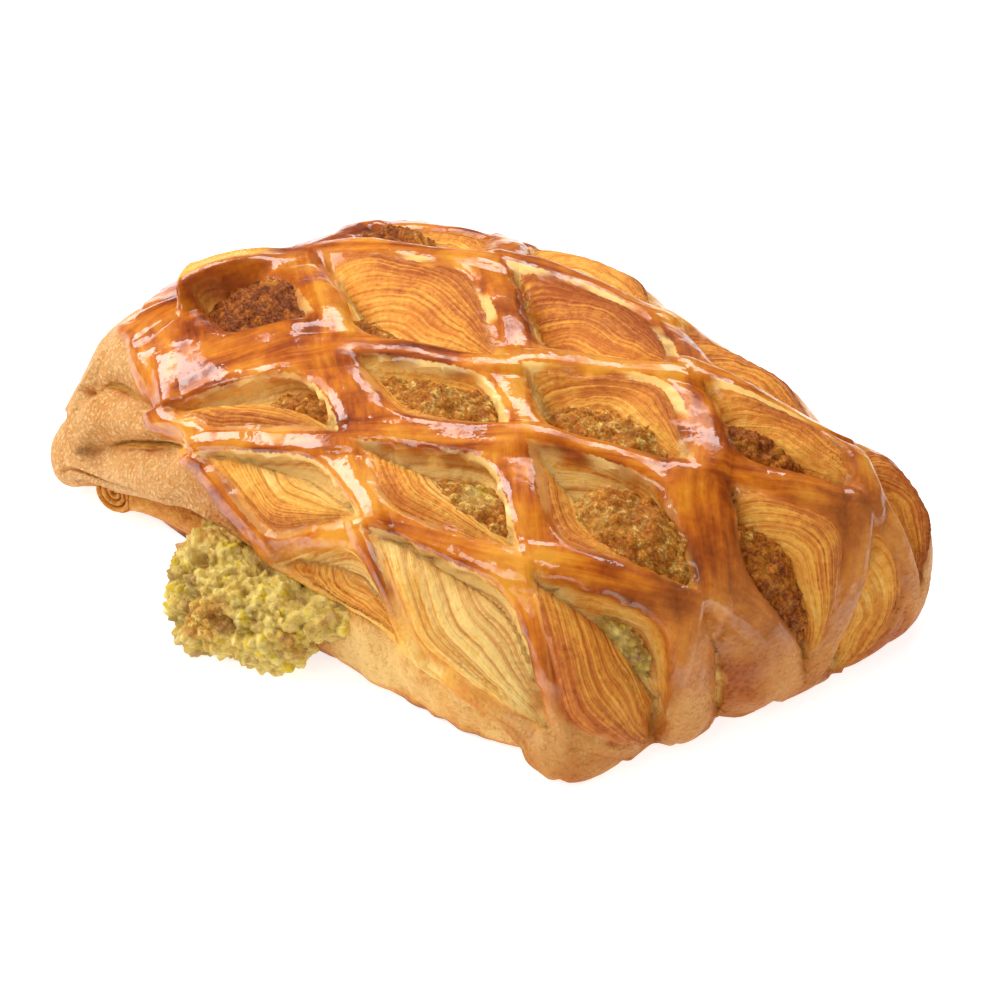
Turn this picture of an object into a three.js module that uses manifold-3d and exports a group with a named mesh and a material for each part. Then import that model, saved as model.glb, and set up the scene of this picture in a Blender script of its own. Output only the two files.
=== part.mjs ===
// A lattice-topped pastry: a flat base sheet, a loaf of filling with crumbly tops and a squeezed-out lump,
// and a domed lattice sheet with lens-shaped openings. Millimetres, +Z up, length along X.
import * as THREE from 'three';
import { mergeVertices } from 'three/addons/utils/BufferGeometryUtils.js';
import Module from 'manifold-3d';

const wasm = await Module();
wasm.setup();

// Outer form of the pastry
const LENGTH = 150;
const WIDTH = 97;
const HEIGHT = 44;
const PLAN_SQUARENESS = 4.4;
const DOME_FULLNESS = 2.42;
const BELLY_HEIGHT = 10;
const FOOT_TUCK = 0.06;
const FOOT_DEPTH = 14;
const FOOT_SPAN = 0.25;
const SHEAR = 0.18;

// The widest line lies higher along the front, over the squeezed-out filling
const RIM_RISE = 8;
const RIM_START = [-58, -20];
const RIM_END = [18, 50];

// Bulges and hollows of the uneven left end, in sheet coordinates, and how far each moves the form
const LOBES = [
  { s: -0.83, t: -1.05, sizeS: 0.13, sizeT: 0.17, pushX: -1.6, pushY: -5 },
  { s: -0.86, t: -0.66, sizeS: 0.15, sizeT: 0.13, pushX: 3, pushY: 3 },
];

// Lattice, in periods along the pastry and across it
const PERIOD_ALONG = 0.45;
const SHIFT_ALONG = 0.075;
const PERIOD_ACROSS = 0.66;
const SHIFT_ACROSS = 0.45;
const FLANK_CLOSE_UP = 0.14;
const PITCH = 27;
const UNCUT_END = -1.25;

// Crossings that stray from the even lattice: place, then shift along and across the sheet
const STRAY_SPAN = 0.3;
const STRAYS = [
  [-2, -0.5, 0.13, -0.19],
  [-1.5, -1, -0.07, -0.11],
  [-1.5, 0, 0.07, -0.24],
  [-1, -0.5, 0.03, -0.16],
  [-1, 0.5, -0.17, 0.05],
  [-0.5, -1, -0.07, -0.015],
  [-0.5, 1, -0.07, 0.03],
  [-0.5, 0, 0.005, -0.06],
  [0, 0.5, 0.047, -0.07],
  [0.5, -1, -0.045, 0.054],
  [1.5, -1, 0.1, -0.04],
  [1.5, 0, 0.003, 0.047],
  [1.5, 1, -0.05, 0.08],
  [2, -0.5, 0.12, -0.06],
  [2, 0.5, 0.14, 0],
];

// Strips and the lens-shaped openings between them
const STRIP_HALF = 4.3;
const TIP_REACH = 0.425;
const BEND = 0.06;
const EDGE_ROUNDING = 2.4;
const STEEP_CROWN = 1.5;
const BROAD_CROWN = 0.7;
const PILLOW_ROUNDING = 8;
const PILLOW_CROWN = 3.2;
const WALL_BULGE = 1.6;
const FULL_BULGE = 3.6;
const MIDDLE_MOST = 0.7;
const MIDDLE_LINE = -0.2;
const OPEN_DEPTH = 8;
const BLIND_DEPTH = 4;
const BLIND_LEAN = 0.4;
const FINE_STEPS = [0, 3.6, 6.8, 10.2];
const COARSE_STEPS = [0, 4, 8.8];

// Openings with their own look: place in the lattice, where the deepest line lies between the lower
// edge (-1) and the upper edge (1), depth of the cut, depth of the filling's top, place and size of the
// filling in cells
const EYES = [
  { along: -1, across: 0, middle: 0, depth: 7, fill: 0.2, place: [0.01, 0.07], size: [0.42, 0.36] },
  { along: -1, across: 1, middle: -0.2, depth: 7, fill: -0.6, place: [-0.12, -0.12], size: [0.3, 0.25] },
  { along: -0.5, across: 0.5, middle: -0.6, fill: 6, place: [0.03, -0.17], size: [0.26, 0.14] },
  { along: 0, across: 1, middle: -0.6, depth: 7, bare: true },
  { along: -0.5, across: -0.5, middle: 0.6, depth: 5.5, fill: 2, place: [0.17, 0.1], size: [0.28, 0.24] },
  { along: 0, across: 0, middle: 0.1, depth: 7.5, fill: 1.6, place: [0.04, 0], size: [0.42, 0.32] },
  { along: 0.5, across: 0.5, middle: -0.35, fill: 2.2, place: [0.12, -0.04], size: [0.38, 0.28] },
  { along: 1, across: 1, middle: -0.6, fill: 2.4, place: [0, -0.14], size: [0.3, 0.2] },
  { along: 0.5, across: -0.5, middle: 0.6, depth: 6.5, fill: 1.8, place: [0.13, 0.07], size: [0.3, 0.24] },
  { along: 1, across: 0, middle: 0.15, depth: 9, fill: 0.4, place: [0.13, 0.03], size: [0.4, 0.36] },
  { along: 0, across: -1, middle: 0.62, depth: 4.5, bare: true },
  { along: 1, across: -1, middle: 0.72, depth: 4.5, bare: true },
  { along: -0.5, across: -1.5, cut: false },
  { along: 1.5, across: 0.5, middle: -0.55, depth: 9, fill: 1.4, place: [0.1, -0.14], size: [0.42, 0.24],
    bulge: FULL_BULGE },
  { along: 1.5, across: -0.5, middle: 0.5, fill: 6, place: [0, 0.13], size: [0.3, 0.12],
    bulge: FULL_BULGE },
  { along: 2, across: 0, middle: 0.1, depth: 6, squeeze: 0.12, pillow: 1, bare: true },
  { along: -1.5, across: -0.5, middle: 0.3, depth: 4, squeeze: 0.12, pillow: 1, bare: true },
  { along: -1, across: -1, middle: 0.5, depth: 5, squeeze: 0.3, pillow: 1, bare: true },
];
const COMMON_FILL = 4.5;
const COMMON_PLACE = [0.08, 0];
const COMMON_SIZE = [0.3, 0.24];

// Filling
const SHEET_THICKNESS = 8.6;
const CORE_SIDE_INSET = 14.6;
const FILLING_DEPTH = 10.4;
const SPILL = [
  { x: -9, y: -52.5, z: 7, length: 18, width: 9.5, rise: 8.5 },
  { x: -17, y: -50, z: 8.5, length: 10, width: 9, rise: 7.8 },
  { x: -1, y: -53.5, z: 5, length: 12, width: 7.5, rise: 6 },
  { x: -5, y: -44, z: 11.5, length: 21, width: 13, rise: 4.5 },
];

// Base sheet
const BASE_HEIGHT = 8;
const BASE_LENGTH = 138;
const BASE_WIDTH = 82;
const BASE_X = -2.5;
const BASE_Y = -5.5;
const BASE_LAYERS = 3;
const BASE_LAYER_CUT = 0.8;
const SEAM_RIGHT = 60;
const SEAM_FRONT = -18;
const SEAM_LEFT = -46;
const SEAM_BACK = 34;
const SEAM_SLOPE = 14;
const GAPE = { x: 0, y: -54, length: 46, width: 26, rise: 8 };
const SAG = { left: -90, right: -57, front: -70, back: -36, z: 4.4 };
const FAR = 200;
const GAP = 0.35;

// Rolled edge of the base at the front left
const ROLL_RADIUS = 4.4;
const ROLL_PATH = new THREE.CubicBezierCurve3(
  new THREE.Vector3(-51.5, -45, 6.6),
  new THREE.Vector3(-50, -40.5, 6.4),
  new THREE.Vector3(-43, -38.6, 6),
  new THREE.Vector3(-17, -38.4, 5.8),
);

const smooth = (low, high, value) => THREE.MathUtils.smoothstep(value, low, high);
const clamp = THREE.MathUtils.clamp;
const lerp = THREE.MathUtils.lerp;

// Distance of a sheet point from the crown: 1 on the widest line of the pastry.
function sheetRadius(s, t) {
  const k = PLAN_SQUARENESS;
  return Math.pow(Math.pow(Math.abs(s), k) + Math.pow(Math.abs(t), k), 1 / k);
}

// Height of the widest line of the pastry in the direction of a sheet point.
function bellyHeight(s, t, r) {
  const y = WIDTH / 2 * t / r;
  const x = LENGTH / 2 * s / r + SHEAR * y;
  const right = clamp((SEAM_RIGHT - x) / SEAM_SLOPE, 0, 1);
  const front = clamp((SEAM_FRONT - y) / SEAM_SLOPE, 0, 1);
  const rise = smooth(...RIM_START, x) * (1 - smooth(...RIM_END, x));
  return BELLY_HEIGHT + RIM_RISE * rise * Math.min(right, front);
}

// Sheet coordinates to a point of the even dome.
function domePoint(s, t) {
  const r = Math.max(sheetRadius(s, t), 1e-9);
  const belly = bellyHeight(s, t, r);
  let reach;
  let z;
  if (r <= 1) {
    const angle = r * (0.75 + 0.25 * r * r) * Math.PI / 2;
    const n = DOME_FULLNESS;
    const c = Math.max(Math.cos(angle), 0);
    const bulge = Math.pow(Math.pow(c, n) + Math.pow(Math.sin(angle), n), -1 / n);
    reach = bulge * Math.sin(angle);
    z = belly + (HEIGHT - belly) * bulge * c;
  } else {
    const angle = Math.min((r - 1) / FOOT_SPAN, 1) * Math.PI / 2;
    reach = 1 - FOOT_TUCK * (1 - Math.cos(angle));
    z = belly - FOOT_DEPTH * Math.sin(angle);
    z -= 60 * Math.max(r - 1 - FOOT_SPAN, 0);
  }
  const y = WIDTH / 2 * t / r * reach;
  const x = LENGTH / 2 * s / r * reach + SHEAR * y;
  return new THREE.Vector3(x, y, z);
}

// Sheet coordinates to a point of the smooth outer form: the dome with its uneven left end.
function formPoint(s, t) {
  const point = domePoint(s, t);
  for (const lobe of LOBES) {
    const off = ((s - lobe.s) / lobe.sizeS) ** 2 + ((t - lobe.t) / lobe.sizeT) ** 2;
    const push = Math.exp(-off / 2);
    point.x += lobe.pushX * push;
    point.y += lobe.pushY * push;
  }
  return point;
}

// Outward direction of a form.
function formNormal(s, t, form) {
  const h = 0.01;
  const ds = form(s + h, t).sub(form(s - h, t));
  const dt = form(s, t + h).sub(form(s, t - h));
  return ds.cross(dt).normalize();
}

// Lattice coordinates to sheet coordinates. Cells lie at whole (a, b); strips half way between them.
function latticeToSheet(a, b) {
  const along = (a + b) / 2;
  const across = (a - b) / 2;
  const y = across - SHIFT_ACROSS;
  let s = SHIFT_ALONG + PERIOD_ALONG * along;
  let t = PERIOD_ACROSS * y / (1 + FLANK_CLOSE_UP * Math.abs(y));
  for (const [x0, y0, shiftS, shiftT] of STRAYS) {
    const weight = Math.exp(-((along - x0) ** 2 + (across - y0) ** 2) / (2 * STRAY_SPAN ** 2));
    s += weight * shiftS;
    t += weight * shiftT;
  }
  return [s, t];
}

// How a cell is cut: open through the sheet, blind on the flanks, or not at all at the uncut end and
// the foot. The deepest line of a cell lies toward its uphill side.
function cellCut(i, j) {
  const [s, t] = latticeToSheet(i, j);
  const along = (i + j) / 2;
  const across = (i - j) / 2;
  const r = sheetRadius(s, t);
  const cell = {
    cut: true,
    depth: OPEN_DEPTH,
    middle: -MIDDLE_MOST * clamp(2 * (t - MIDDLE_LINE), -1, 1),
    squeeze: 1,
    pillow: 0,
    bulge: WALL_BULGE,
    bare: false,
    named: false,
    fill: COMMON_FILL,
    place: COMMON_PLACE,
    size: COMMON_SIZE,
  };
  if (along < UNCUT_END || r > 1.02) {
    cell.cut = false;
  } else if (r > 0.74 || along < UNCUT_END + 0.5 && t < -0.5) {
    cell.depth = BLIND_DEPTH;
    cell.middle *= BLIND_LEAN;
    cell.bare = true;
  }
  const eye = EYES.find((e) => e.along === along && e.across === across);
  if (eye) {
    Object.assign(cell, { named: true, cut: true, depth: OPEN_DEPTH, bare: false }, eye);
  }
  cell.open = cell.cut && !cell.bare;
  return cell;
}

// Depth of the lattice surface below the smooth form. Each opening is a lens with its tips along the
// pastry; one wall is steep, the other broad and bulging.
function latticeDepth(a, b) {
  const i = Math.round(a);
  const j = Math.round(b);
  const cell = cellCut(i, j);
  if (!cell.cut) {
    return 0;
  }
  const x = (a - i + b - j) / 2;
  const y = (a - i - b + j) / 2;
  const clear = 0.5 - STRIP_HALF / PITCH;
  const pull = Math.sqrt(clear ** 2 - BEND ** 2) / TIP_REACH;
  const root = Math.hypot(pull * x, BEND);
  const edge = (clear - root) * cell.squeeze;
  const inner = Math.max(edge, 1e-4);
  const slope = Math.sqrt(0.5 * (1 + (x / root) ** 2));
  const outside = (Math.abs(y) - edge) * PITCH / slope;
  const upper = y > cell.middle * inner;
  const width = inner * (upper ? 1 - cell.middle : 1 + cell.middle);
  const ratio = clamp((upper ? edge - y : edge + y) / width, 0, 1);
  const broad = smooth(0.25, 0.75, width / (2 * inner));
  const tip = Math.sqrt(clamp(inner / (clear - BEND), 0, 1));
  const crown = lerp(lerp(STEEP_CROWN, BROAD_CROWN, broad), PILLOW_CROWN, cell.pillow);
  const rounding = lerp(EDGE_ROUNDING, PILLOW_ROUNDING, cell.pillow);
  const sink = crown * (1 - clamp(outside / rounding, 0, 1)) ** 2;
  const bulge = cell.bulge * broad * Math.sin(Math.PI * ratio ** 0.8) * tip;
  const fall = lerp(1 - (1 - ratio) ** 2.4, ratio ** 1.9, broad);
  return sink - bulge + (cell.depth - crown) * fall * tip;
}

function latticePoint(a, b) {
  const [s, t] = latticeToSheet(a, b);
  const point = formPoint(s, t);
  const r = sheetRadius(s, t);
  const depth = latticeDepth(a, b) * (1 - smooth(1.15, 1.4, r));
  return point.addScaledVector(formNormal(s, t, formPoint), -depth);
}

function toSolid(geometry) {
  const bare = geometry.clone();
  bare.deleteAttribute('normal');
  bare.deleteAttribute('uv');
  const merged = mergeVertices(bare, 1e-4);
  return new wasm.Manifold(new wasm.Mesh({
    numProp: 3,
    vertProperties: new Float32Array(merged.attributes.position.array),
    triVerts: new Uint32Array(merged.index.array),
  }));
}

function largestBody(solid) {
  const bodies = solid.decompose();
  return bodies.reduce((best, body) => (body.volume() > best.volume() ? body : best));
}

function toMesh(solid, name, material) {
  const data = solid.getMesh();
  const geometry = new THREE.BufferGeometry();
  geometry.setAttribute('position', new THREE.BufferAttribute(new Float32Array(data.vertProperties), 3));
  geometry.setIndex(new THREE.BufferAttribute(new Uint32Array(data.triVerts), 1));
  geometry.computeVertexNormals();
  const mesh = new THREE.Mesh(geometry, material);
  mesh.name = name;
  return mesh;
}

// Moves every vertex of a geometry with a function of its position.
function shape(geometry, move) {
  const position = geometry.attributes.position;
  const point = new THREE.Vector3();
  for (let n = 0; n < position.count; n += 1) {
    point.fromBufferAttribute(position, n);
    const moved = move(point);
    position.setXYZ(n, moved.x, moved.y, moved.z);
  }
  return geometry;
}

// Grid lines of the lattice: close together where the openings are cut, wider apart under the foot.
function gridLines(first, last, fineFrom, fineTo) {
  const lines = [];
  for (let strip = first; strip <= last; strip += 1) {
    const before = strip > fineFrom && strip <= fineTo ? FINE_STEPS : COARSE_STEPS;
    const after = strip >= fineFrom && strip < fineTo ? FINE_STEPS : COARSE_STEPS;
    if (before === FINE_STEPS) {
      lines.push(strip - 0.5);
    }
    for (const step of before.slice(1).reverse()) {
      lines.push(strip - step / PITCH);
    }
    for (const step of after) {
      lines.push(strip + step / PITCH);
    }
  }
  return lines;
}

// The lattice sheet before the hollow is taken out: relief above, a flat plate far below the ground.
function buildSheet() {
  const linesA = gridLines(-4.5, 5.5, -1.5, 3.5);
  const linesB = gridLines(-5.5, 4.5, -3.5, 2.5);
  const countA = linesA.length - 1;
  const countB = linesB.length - 1;
  const block = new THREE.BoxGeometry(1, 1, 1, countB, countA, 1);
  shape(block, (p) => {
    const a = linesA[Math.round((p.y + 0.5) * countA)];
    const b = linesB[Math.round((p.x + 0.5) * countB)];
    const [s, t] = latticeToSheet(a, b);
    return p.z > 0 ? latticePoint(a, b) : new THREE.Vector3(s * 120, t * 120, -320);
  });
  return toSolid(block);
}

// Crumbly unevenness of the filling.
function crumb(p, seed) {
  const wave = Math.sin(p.x * 5.1 + seed) * Math.sin(p.y * 4.3 + seed * 1.7) * Math.sin(p.z * 4.7 - seed);
  return 1 + 0.08 * wave + 0.04 * Math.sin(p.x * 9.1 - p.y * 8.3 + seed);
}

// One lump of filling: an uneven ellipsoid in a local frame.
function buildLump(centre, frame, size, seed, grow, detail) {
  const ball = new THREE.IcosahedronGeometry(1, detail);
  shape(ball, (p) => {
    const k = crumb(p, seed);
    return centre.clone()
      .addScaledVector(frame.along, p.x * (size.length * k + grow))
      .addScaledVector(frame.across, p.y * (size.width * k + grow))
      .addScaledVector(frame.up, p.z * (size.rise * k + grow));
  });
  return toSolid(ball);
}

// Directions along, across and out of the sheet at a point.
function sheetFrame(s, t) {
  const h = 0.01;
  const up = formNormal(s, t, formPoint);
  const along = formPoint(s + h, t).sub(formPoint(s - h, t)).normalize();
  const across = up.clone().cross(along).normalize();
  return { along: across.clone().cross(up).normalize(), across, up };
}

// The loaf of filling under the sheet.
function buildCore(grow) {
  const ball = new THREE.SphereGeometry(1, 32, 8);
  ball.rotateX(Math.PI / 2);
  const floor = BASE_HEIGHT + GAP - grow;
  shape(ball, (p) => {
    const polar = Math.acos(clamp(p.z, -1, 1)) / Math.PI * 4 / 3;
    const plan = Math.hypot(p.x, p.y) + 1e-12;
    const r = Math.min(polar, 1);
    const k = sheetRadius(p.x / plan, p.y / plan);
    const s = r * p.x / plan / k;
    const t = r * p.y / plan / k;
    const inset = lerp(SHEET_THICKNESS, CORE_SIDE_INSET, smooth(0.6, 1, r)) - grow;
    const point = domePoint(s, t).addScaledVector(formNormal(s, t, domePoint), -inset);
    if (polar > 1.0001) {
      const share = clamp((4 - 3 * polar) * 1.9, 0, 1);
      return new THREE.Vector3(point.x * share, point.y * share, floor);
    }
    return point;
  });
  return toSolid(ball);
}

// Filling: loaf, crumbly tops in the open cells and the lump squeezed out at the front.
function buildFilling(grow) {
  let filling = buildCore(grow);
  for (let i = -4; i <= 5; i += 1) {
    for (let j = -5; j <= 4; j += 1) {
      const cell = cellCut(i, j);
      if (!cell.open) {
        continue;
      }
      const [x, y] = cell.place;
      const [s, t] = latticeToSheet(i + x + y, j + x - y);
      const frame = sheetFrame(s, t);
      const centre = formPoint(s, t).addScaledVector(frame.up, -FILLING_DEPTH);
      const reach = PITCH * Math.SQRT2;
      const size = {
        length: cell.size[0] * reach,
        width: cell.size[1] * reach,
        rise: FILLING_DEPTH - cell.fill,
      };
      const detail = cell.named ? 2 : 1;
      filling = filling.add(buildLump(centre, frame, size, i * 3.1 + j * 1.7, grow, detail));
    }
  }
  const level = {
    along: new THREE.Vector3(1, 0, 0),
    across: new THREE.Vector3(0, 1, 0),
    up: new THREE.Vector3(0, 0, 1),
  };
  SPILL.forEach((part, n) => {
    const centre = new THREE.Vector3(part.x, part.y, part.z);
    filling = filling.add(buildLump(centre, level, part, 4.2 + n * 1.9, grow, 2));
  });
  return filling;
}

// Base sheet: a slab with a layered edge and a flat underside.
function buildBase(grow, layers) {
  const drum = new THREE.CylinderGeometry(1, 1, 1, 44, Math.max(layers * 2, 1));
  drum.rotateX(Math.PI / 2);
  shape(drum, (p) => {
    const level = p.z + 0.5;
    const plan = Math.hypot(p.x, p.y);
    const groove = layers > 0 ? 0.5 + 0.5 * Math.cos(2 * Math.PI * layers * level) : 0;
    const inset = BASE_LAYER_CUT * groove - grow;
    const k = plan > 1e-6 ? sheetRadius(p.x / plan, p.y / plan) : 1;
    const y = BASE_Y + p.y / k * (BASE_WIDTH / 2 - inset);
    const x = BASE_X + p.x / k * (BASE_LENGTH / 2 - inset) + SHEAR * y;
    return new THREE.Vector3(x, y, level * (BASE_HEIGHT + grow));
  });
  return toSolid(drum);
}

// The rolled edge: a round bar along a curve.
function buildRoll(grow) {
  const bar = new THREE.CylinderGeometry(1, 1, 1, 16, 8);
  const upright = new THREE.Vector3(0, 0, 1);
  shape(bar, (p) => {
    const share = p.y + 0.5;
    const tangent = ROLL_PATH.getTangent(share);
    const side = tangent.clone().cross(upright).normalize();
    const top = side.clone().cross(tangent);
    return ROLL_PATH.getPoint(share)
      .addScaledVector(tangent, Math.sign(p.y) * (Math.abs(p.y) > 0.49 ? grow : 0))
      .addScaledVector(side, p.x * (ROLL_RADIUS + grow))
      .addScaledVector(top, p.z * (ROLL_RADIUS + grow));
  });
  return toSolid(bar);
}

// A block between two corners. Its far side and right side may slope inward toward the top.
function box(low, high, slope = 0) {
  const size = new THREE.Vector3().subVectors(high, low);
  const block = new THREE.BoxGeometry(1, 1, 1);
  shape(block, (p) => {
    const lift = p.z + 0.5;
    const x = low.x + (p.x + 0.5) * (size.x - slope * lift);
    const y = low.y + (p.y + 0.5) * (size.y - slope * lift);
    return new THREE.Vector3(x, y, low.z + lift * size.z);
  });
  return toSolid(block);
}

// The room under the raised rim along the front and the left end, where the base edge shows.
function buildSeam() {
  const corner = new THREE.Vector3(-FAR, -FAR, -1);
  const top = BASE_HEIGHT + GAP;
  const front = box(corner, new THREE.Vector3(SEAM_RIGHT, SEAM_FRONT, top), SEAM_SLOPE);
  const left = box(corner, new THREE.Vector3(SEAM_LEFT, SEAM_BACK, top), SEAM_SLOPE);
  const gape = new THREE.SphereGeometry(1, 20, 10);
  shape(gape, (p) => new THREE.Vector3(
    GAPE.x + p.x * GAPE.length,
    GAPE.y + p.y * GAPE.width,
    top + p.z * GAPE.rise,
  ));
  const sag = box(
    new THREE.Vector3(SAG.left, SAG.front, SAG.z),
    new THREE.Vector3(SAG.right, SAG.back, FAR),
  );
  return front.add(left).subtract(sag).add(toSolid(gape));
}

const aboveGround = box(new THREE.Vector3(-FAR, -FAR, 0), new THREE.Vector3(FAR, FAR, FAR));
const base = buildBase(0, BASE_LAYERS).add(buildRoll(0));
const baseRoom = buildBase(GAP, 0).add(buildRoll(GAP));
const filling = largestBody(buildFilling(0).intersect(aboveGround).subtract(baseRoom));
const hollow = buildFilling(GAP).add(baseRoom).add(buildSeam());
const lattice = largestBody(buildSheet().intersect(aboveGround).subtract(hollow));

const dough = new THREE.MeshStandardMaterial({ color: 0xb8691f, roughness: 0.3, metalness: 0 });
dough.name = 'glazed_crust';
const crust = new THREE.MeshStandardMaterial({ color: 0xc68a3c, roughness: 0.7, metalness: 0 });
crust.name = 'baked_base';
const paste = new THREE.MeshStandardMaterial({ color: 0x94803a, roughness: 0.8, metalness: 0 });
paste.name = 'pistachio';

const pastry = new THREE.Group();
pastry.name = 'pain_suisse';
const pieces = [
  toMesh(base, 'base_sheet', crust),
  toMesh(filling, 'pistachio_filling', paste),
  toMesh(lattice, 'lattice_sheet', dough),
];

// The origin is the middle of the underside.
const bounds = new THREE.Box3();
for (const piece of pieces) {
  piece.geometry.computeBoundingBox();
  bounds.union(piece.geometry.boundingBox);
}
const middle = bounds.getCenter(new THREE.Vector3());
for (const piece of pieces) {
  piece.geometry.translate(-middle.x, -middle.y, -bounds.min.z);
  pastry.add(piece);
}

export default pastry;
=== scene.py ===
"""A lattice-topped pastry of laminated dough with pistachio filling, dressed on its solid model."""
import logging
import math
from dataclasses import dataclass, field
from enum import Enum
from typing import ClassVar, Sequence

import bmesh
import bpy
import numpy as np
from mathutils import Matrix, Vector


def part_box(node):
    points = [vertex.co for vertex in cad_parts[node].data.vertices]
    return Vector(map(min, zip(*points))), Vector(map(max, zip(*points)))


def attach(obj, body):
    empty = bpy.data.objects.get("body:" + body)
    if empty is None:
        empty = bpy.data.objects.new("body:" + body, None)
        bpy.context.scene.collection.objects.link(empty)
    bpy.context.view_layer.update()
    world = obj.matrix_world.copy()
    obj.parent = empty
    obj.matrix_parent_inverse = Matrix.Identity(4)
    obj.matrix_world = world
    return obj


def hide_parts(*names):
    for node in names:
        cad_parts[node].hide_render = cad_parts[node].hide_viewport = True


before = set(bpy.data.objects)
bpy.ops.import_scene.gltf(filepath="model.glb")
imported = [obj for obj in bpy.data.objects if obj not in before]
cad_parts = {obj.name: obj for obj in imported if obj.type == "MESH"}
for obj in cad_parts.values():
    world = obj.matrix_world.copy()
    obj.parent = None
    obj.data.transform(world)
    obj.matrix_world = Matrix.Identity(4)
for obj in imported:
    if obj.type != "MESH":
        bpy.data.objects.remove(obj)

LOG = logging.getLogger("pastry")
# One millimetre in metres.
MM = 0.001
# The least length that is divided by, and the least width of an opening in cells.
TINY = 1e-12
NEARLY_NONE = 1e-4
# Depth in millimetres that stands for an opening without filling.
NO_FILLING = 12.0
# Lowest height of the dough and the filling in millimetres.
GROUND = 0.04

Array = np.ndarray
Colour = tuple[float, float, float]
Place = tuple[float, float, float]
Span = tuple[float, float]
# A range of values and the results at its two ends.
Fit = tuple[float, float, float, float]
Socket = bpy.types.NodeSocket


class Slot(Enum):
    """Material slots of the solid model."""

    CRUST = "glazed_crust"
    FILLING = "pistachio"
    BASE = "baked_base"


class CellKind(Enum):
    """How far a lattice cell is cut into the top sheet, in millimetres."""

    OPEN = 8.0
    BLIND = 4.0
    DIMPLE = 1.2


class MixKind(Enum):
    """What a mix node blends, with the numbers of its two inputs and its output."""

    COLOUR = ("RGBA", 6, 7, 2)
    DIRECTION = ("VECTOR", 4, 5, 1)


def smooth(low: float, high: float, value: Array) -> Array:
    """Ease from 0 to 1 between two limits.

    Args:
        low: value where the result is 0.
        high: value where the result is 1.
        value: values to ease.

    Returns:
        Eased values from 0 to 1.
    """
    x = np.clip((value - low) / (high - low), 0.0, 1.0)
    return x * x * (3.0 - 2.0 * x)


def lerp(first: Array | float, second: Array | float, share: Array | float) -> Array:
    """Blend two values by a share from 0 to 1."""
    return first + (second - first) * share


def unit(vectors: Array) -> Array:
    """Scale vectors to length one."""
    return vectors / np.maximum(np.linalg.norm(vectors, axis=-1, keepdims=True), TINY)


class Grain:
    """Steady random values in space, mixed from whole numbers by large odd factors and shifts."""

    AXIS_FACTORS = (374761393, 668265263, 2246822519)
    SEED_FACTOR = 2654435761
    SEED_STEP = 97
    ROUNDS = ((15, 2246822519), (13, 3266489917), (16, 668265263))
    LAST_SHIFT = 15
    RANGE = 2**32

    @classmethod
    def draw(cls, cells: Array, seed: int) -> Array:
        """Give each whole-number cell a steady value from 0 to 1.

        Args:
            cells: whole-number coordinates, one row per point.
            seed: which field to draw from.

        Returns:
            One value per row.
        """
        whole = cells.astype(np.int64).astype(np.uint32)
        h = np.full(len(whole), (seed * cls.SEED_FACTOR + cls.SEED_STEP) % cls.RANGE, dtype=np.uint32)
        for column, factor in zip(whole.T, cls.AXIS_FACTORS):
            h = h + column * np.uint32(factor)
        for shift, factor in cls.ROUNDS:
            h = (h ^ (h >> np.uint32(shift))) * np.uint32(factor)
        h = h ^ (h >> np.uint32(cls.LAST_SHIFT))
        return h.astype(np.float64) / float(cls.RANGE)


@dataclass(frozen=True)
class Wave:
    """Smooth random waves of a given strength and size in millimetres, with finer layers as octaves."""

    strength: float
    size: float
    seed: int
    octaves: int = 1
    octave_shift: ClassVar[float] = 17.3

    def at(self, points: Array) -> Array:
        """Work out the waves at points in space.

        Args:
            points: positions in millimetres, one row each.

        Returns:
            One value per point, about as far from 0 as the strength both ways.
        """
        total = np.zeros(len(points))
        share = 1.0
        for octave in range(self.octaves):
            q = points / (self.size * 0.5**octave) + self.octave_shift * octave
            low = np.floor(q)
            w = q - low
            w = w * w * w * (w * (w * 6.0 - 15.0) + 10.0)
            value = np.zeros(len(points))
            for corner in np.ndindex(2, 2, 2):
                weight = np.ones(len(points))
                for axis, high in enumerate(corner):
                    weight = weight * (w[:, axis] if high else 1.0 - w[:, axis])
                value += weight * Grain.draw(low + np.array(corner), self.seed + octave)
            total += share * (2.0 * value - 1.0)
            share *= 0.5
        return self.strength * total


@dataclass(frozen=True)
class Crumbs:
    """Rounded grains of one size in millimetres, packed in space."""

    size: float
    seed: int
    far: ClassVar[float] = 9.0

    def at(self, points: Array) -> tuple[Array, Array, Array]:
        """Find the grains next to points in space.

        Args:
            points: positions in millimetres, one row each.

        Returns:
            Distance to the nearest grain's middle and to the next one, in grains, and a value for each grain.
        """
        q = points / self.size
        low = np.floor(q)
        first = np.full(len(points), self.far)
        second = np.full(len(points), self.far)
        tag = np.zeros(len(points))
        for corner in np.ndindex(3, 3, 3):
            cell = low + np.array(corner) - 1.0
            jitter = np.stack([Grain.draw(cell, self.seed + k) for k in range(3)], axis=1)
            distance = np.linalg.norm(cell + jitter - q, axis=1)
            closer = distance < first
            second = np.where(closer, first, np.minimum(second, distance))
            tag = np.where(closer, Grain.draw(cell, self.seed + 3), tag)
            first = np.where(closer, distance, first)
        return first, second, tag


@dataclass(frozen=True)
class Lobe:
    """A soft swelling or dent of the form, placed and sized on the sheet and pushed in millimetres."""

    place: Span
    size: Span
    push: Place

    def shift(self, s: Array, t: Array) -> Array:
        """Work out how far the lobe moves sheet points.

        Args:
            s: sheet coordinate along the pastry.
            t: sheet coordinate across it.

        Returns:
            Shifts in millimetres, one row each.
        """
        off_s, off_t = (s - self.place[0]) / self.size[0], (t - self.place[1]) / self.size[1]
        return np.exp(-(off_s**2 + off_t**2) / 2)[..., None] * np.array(self.push)


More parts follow.
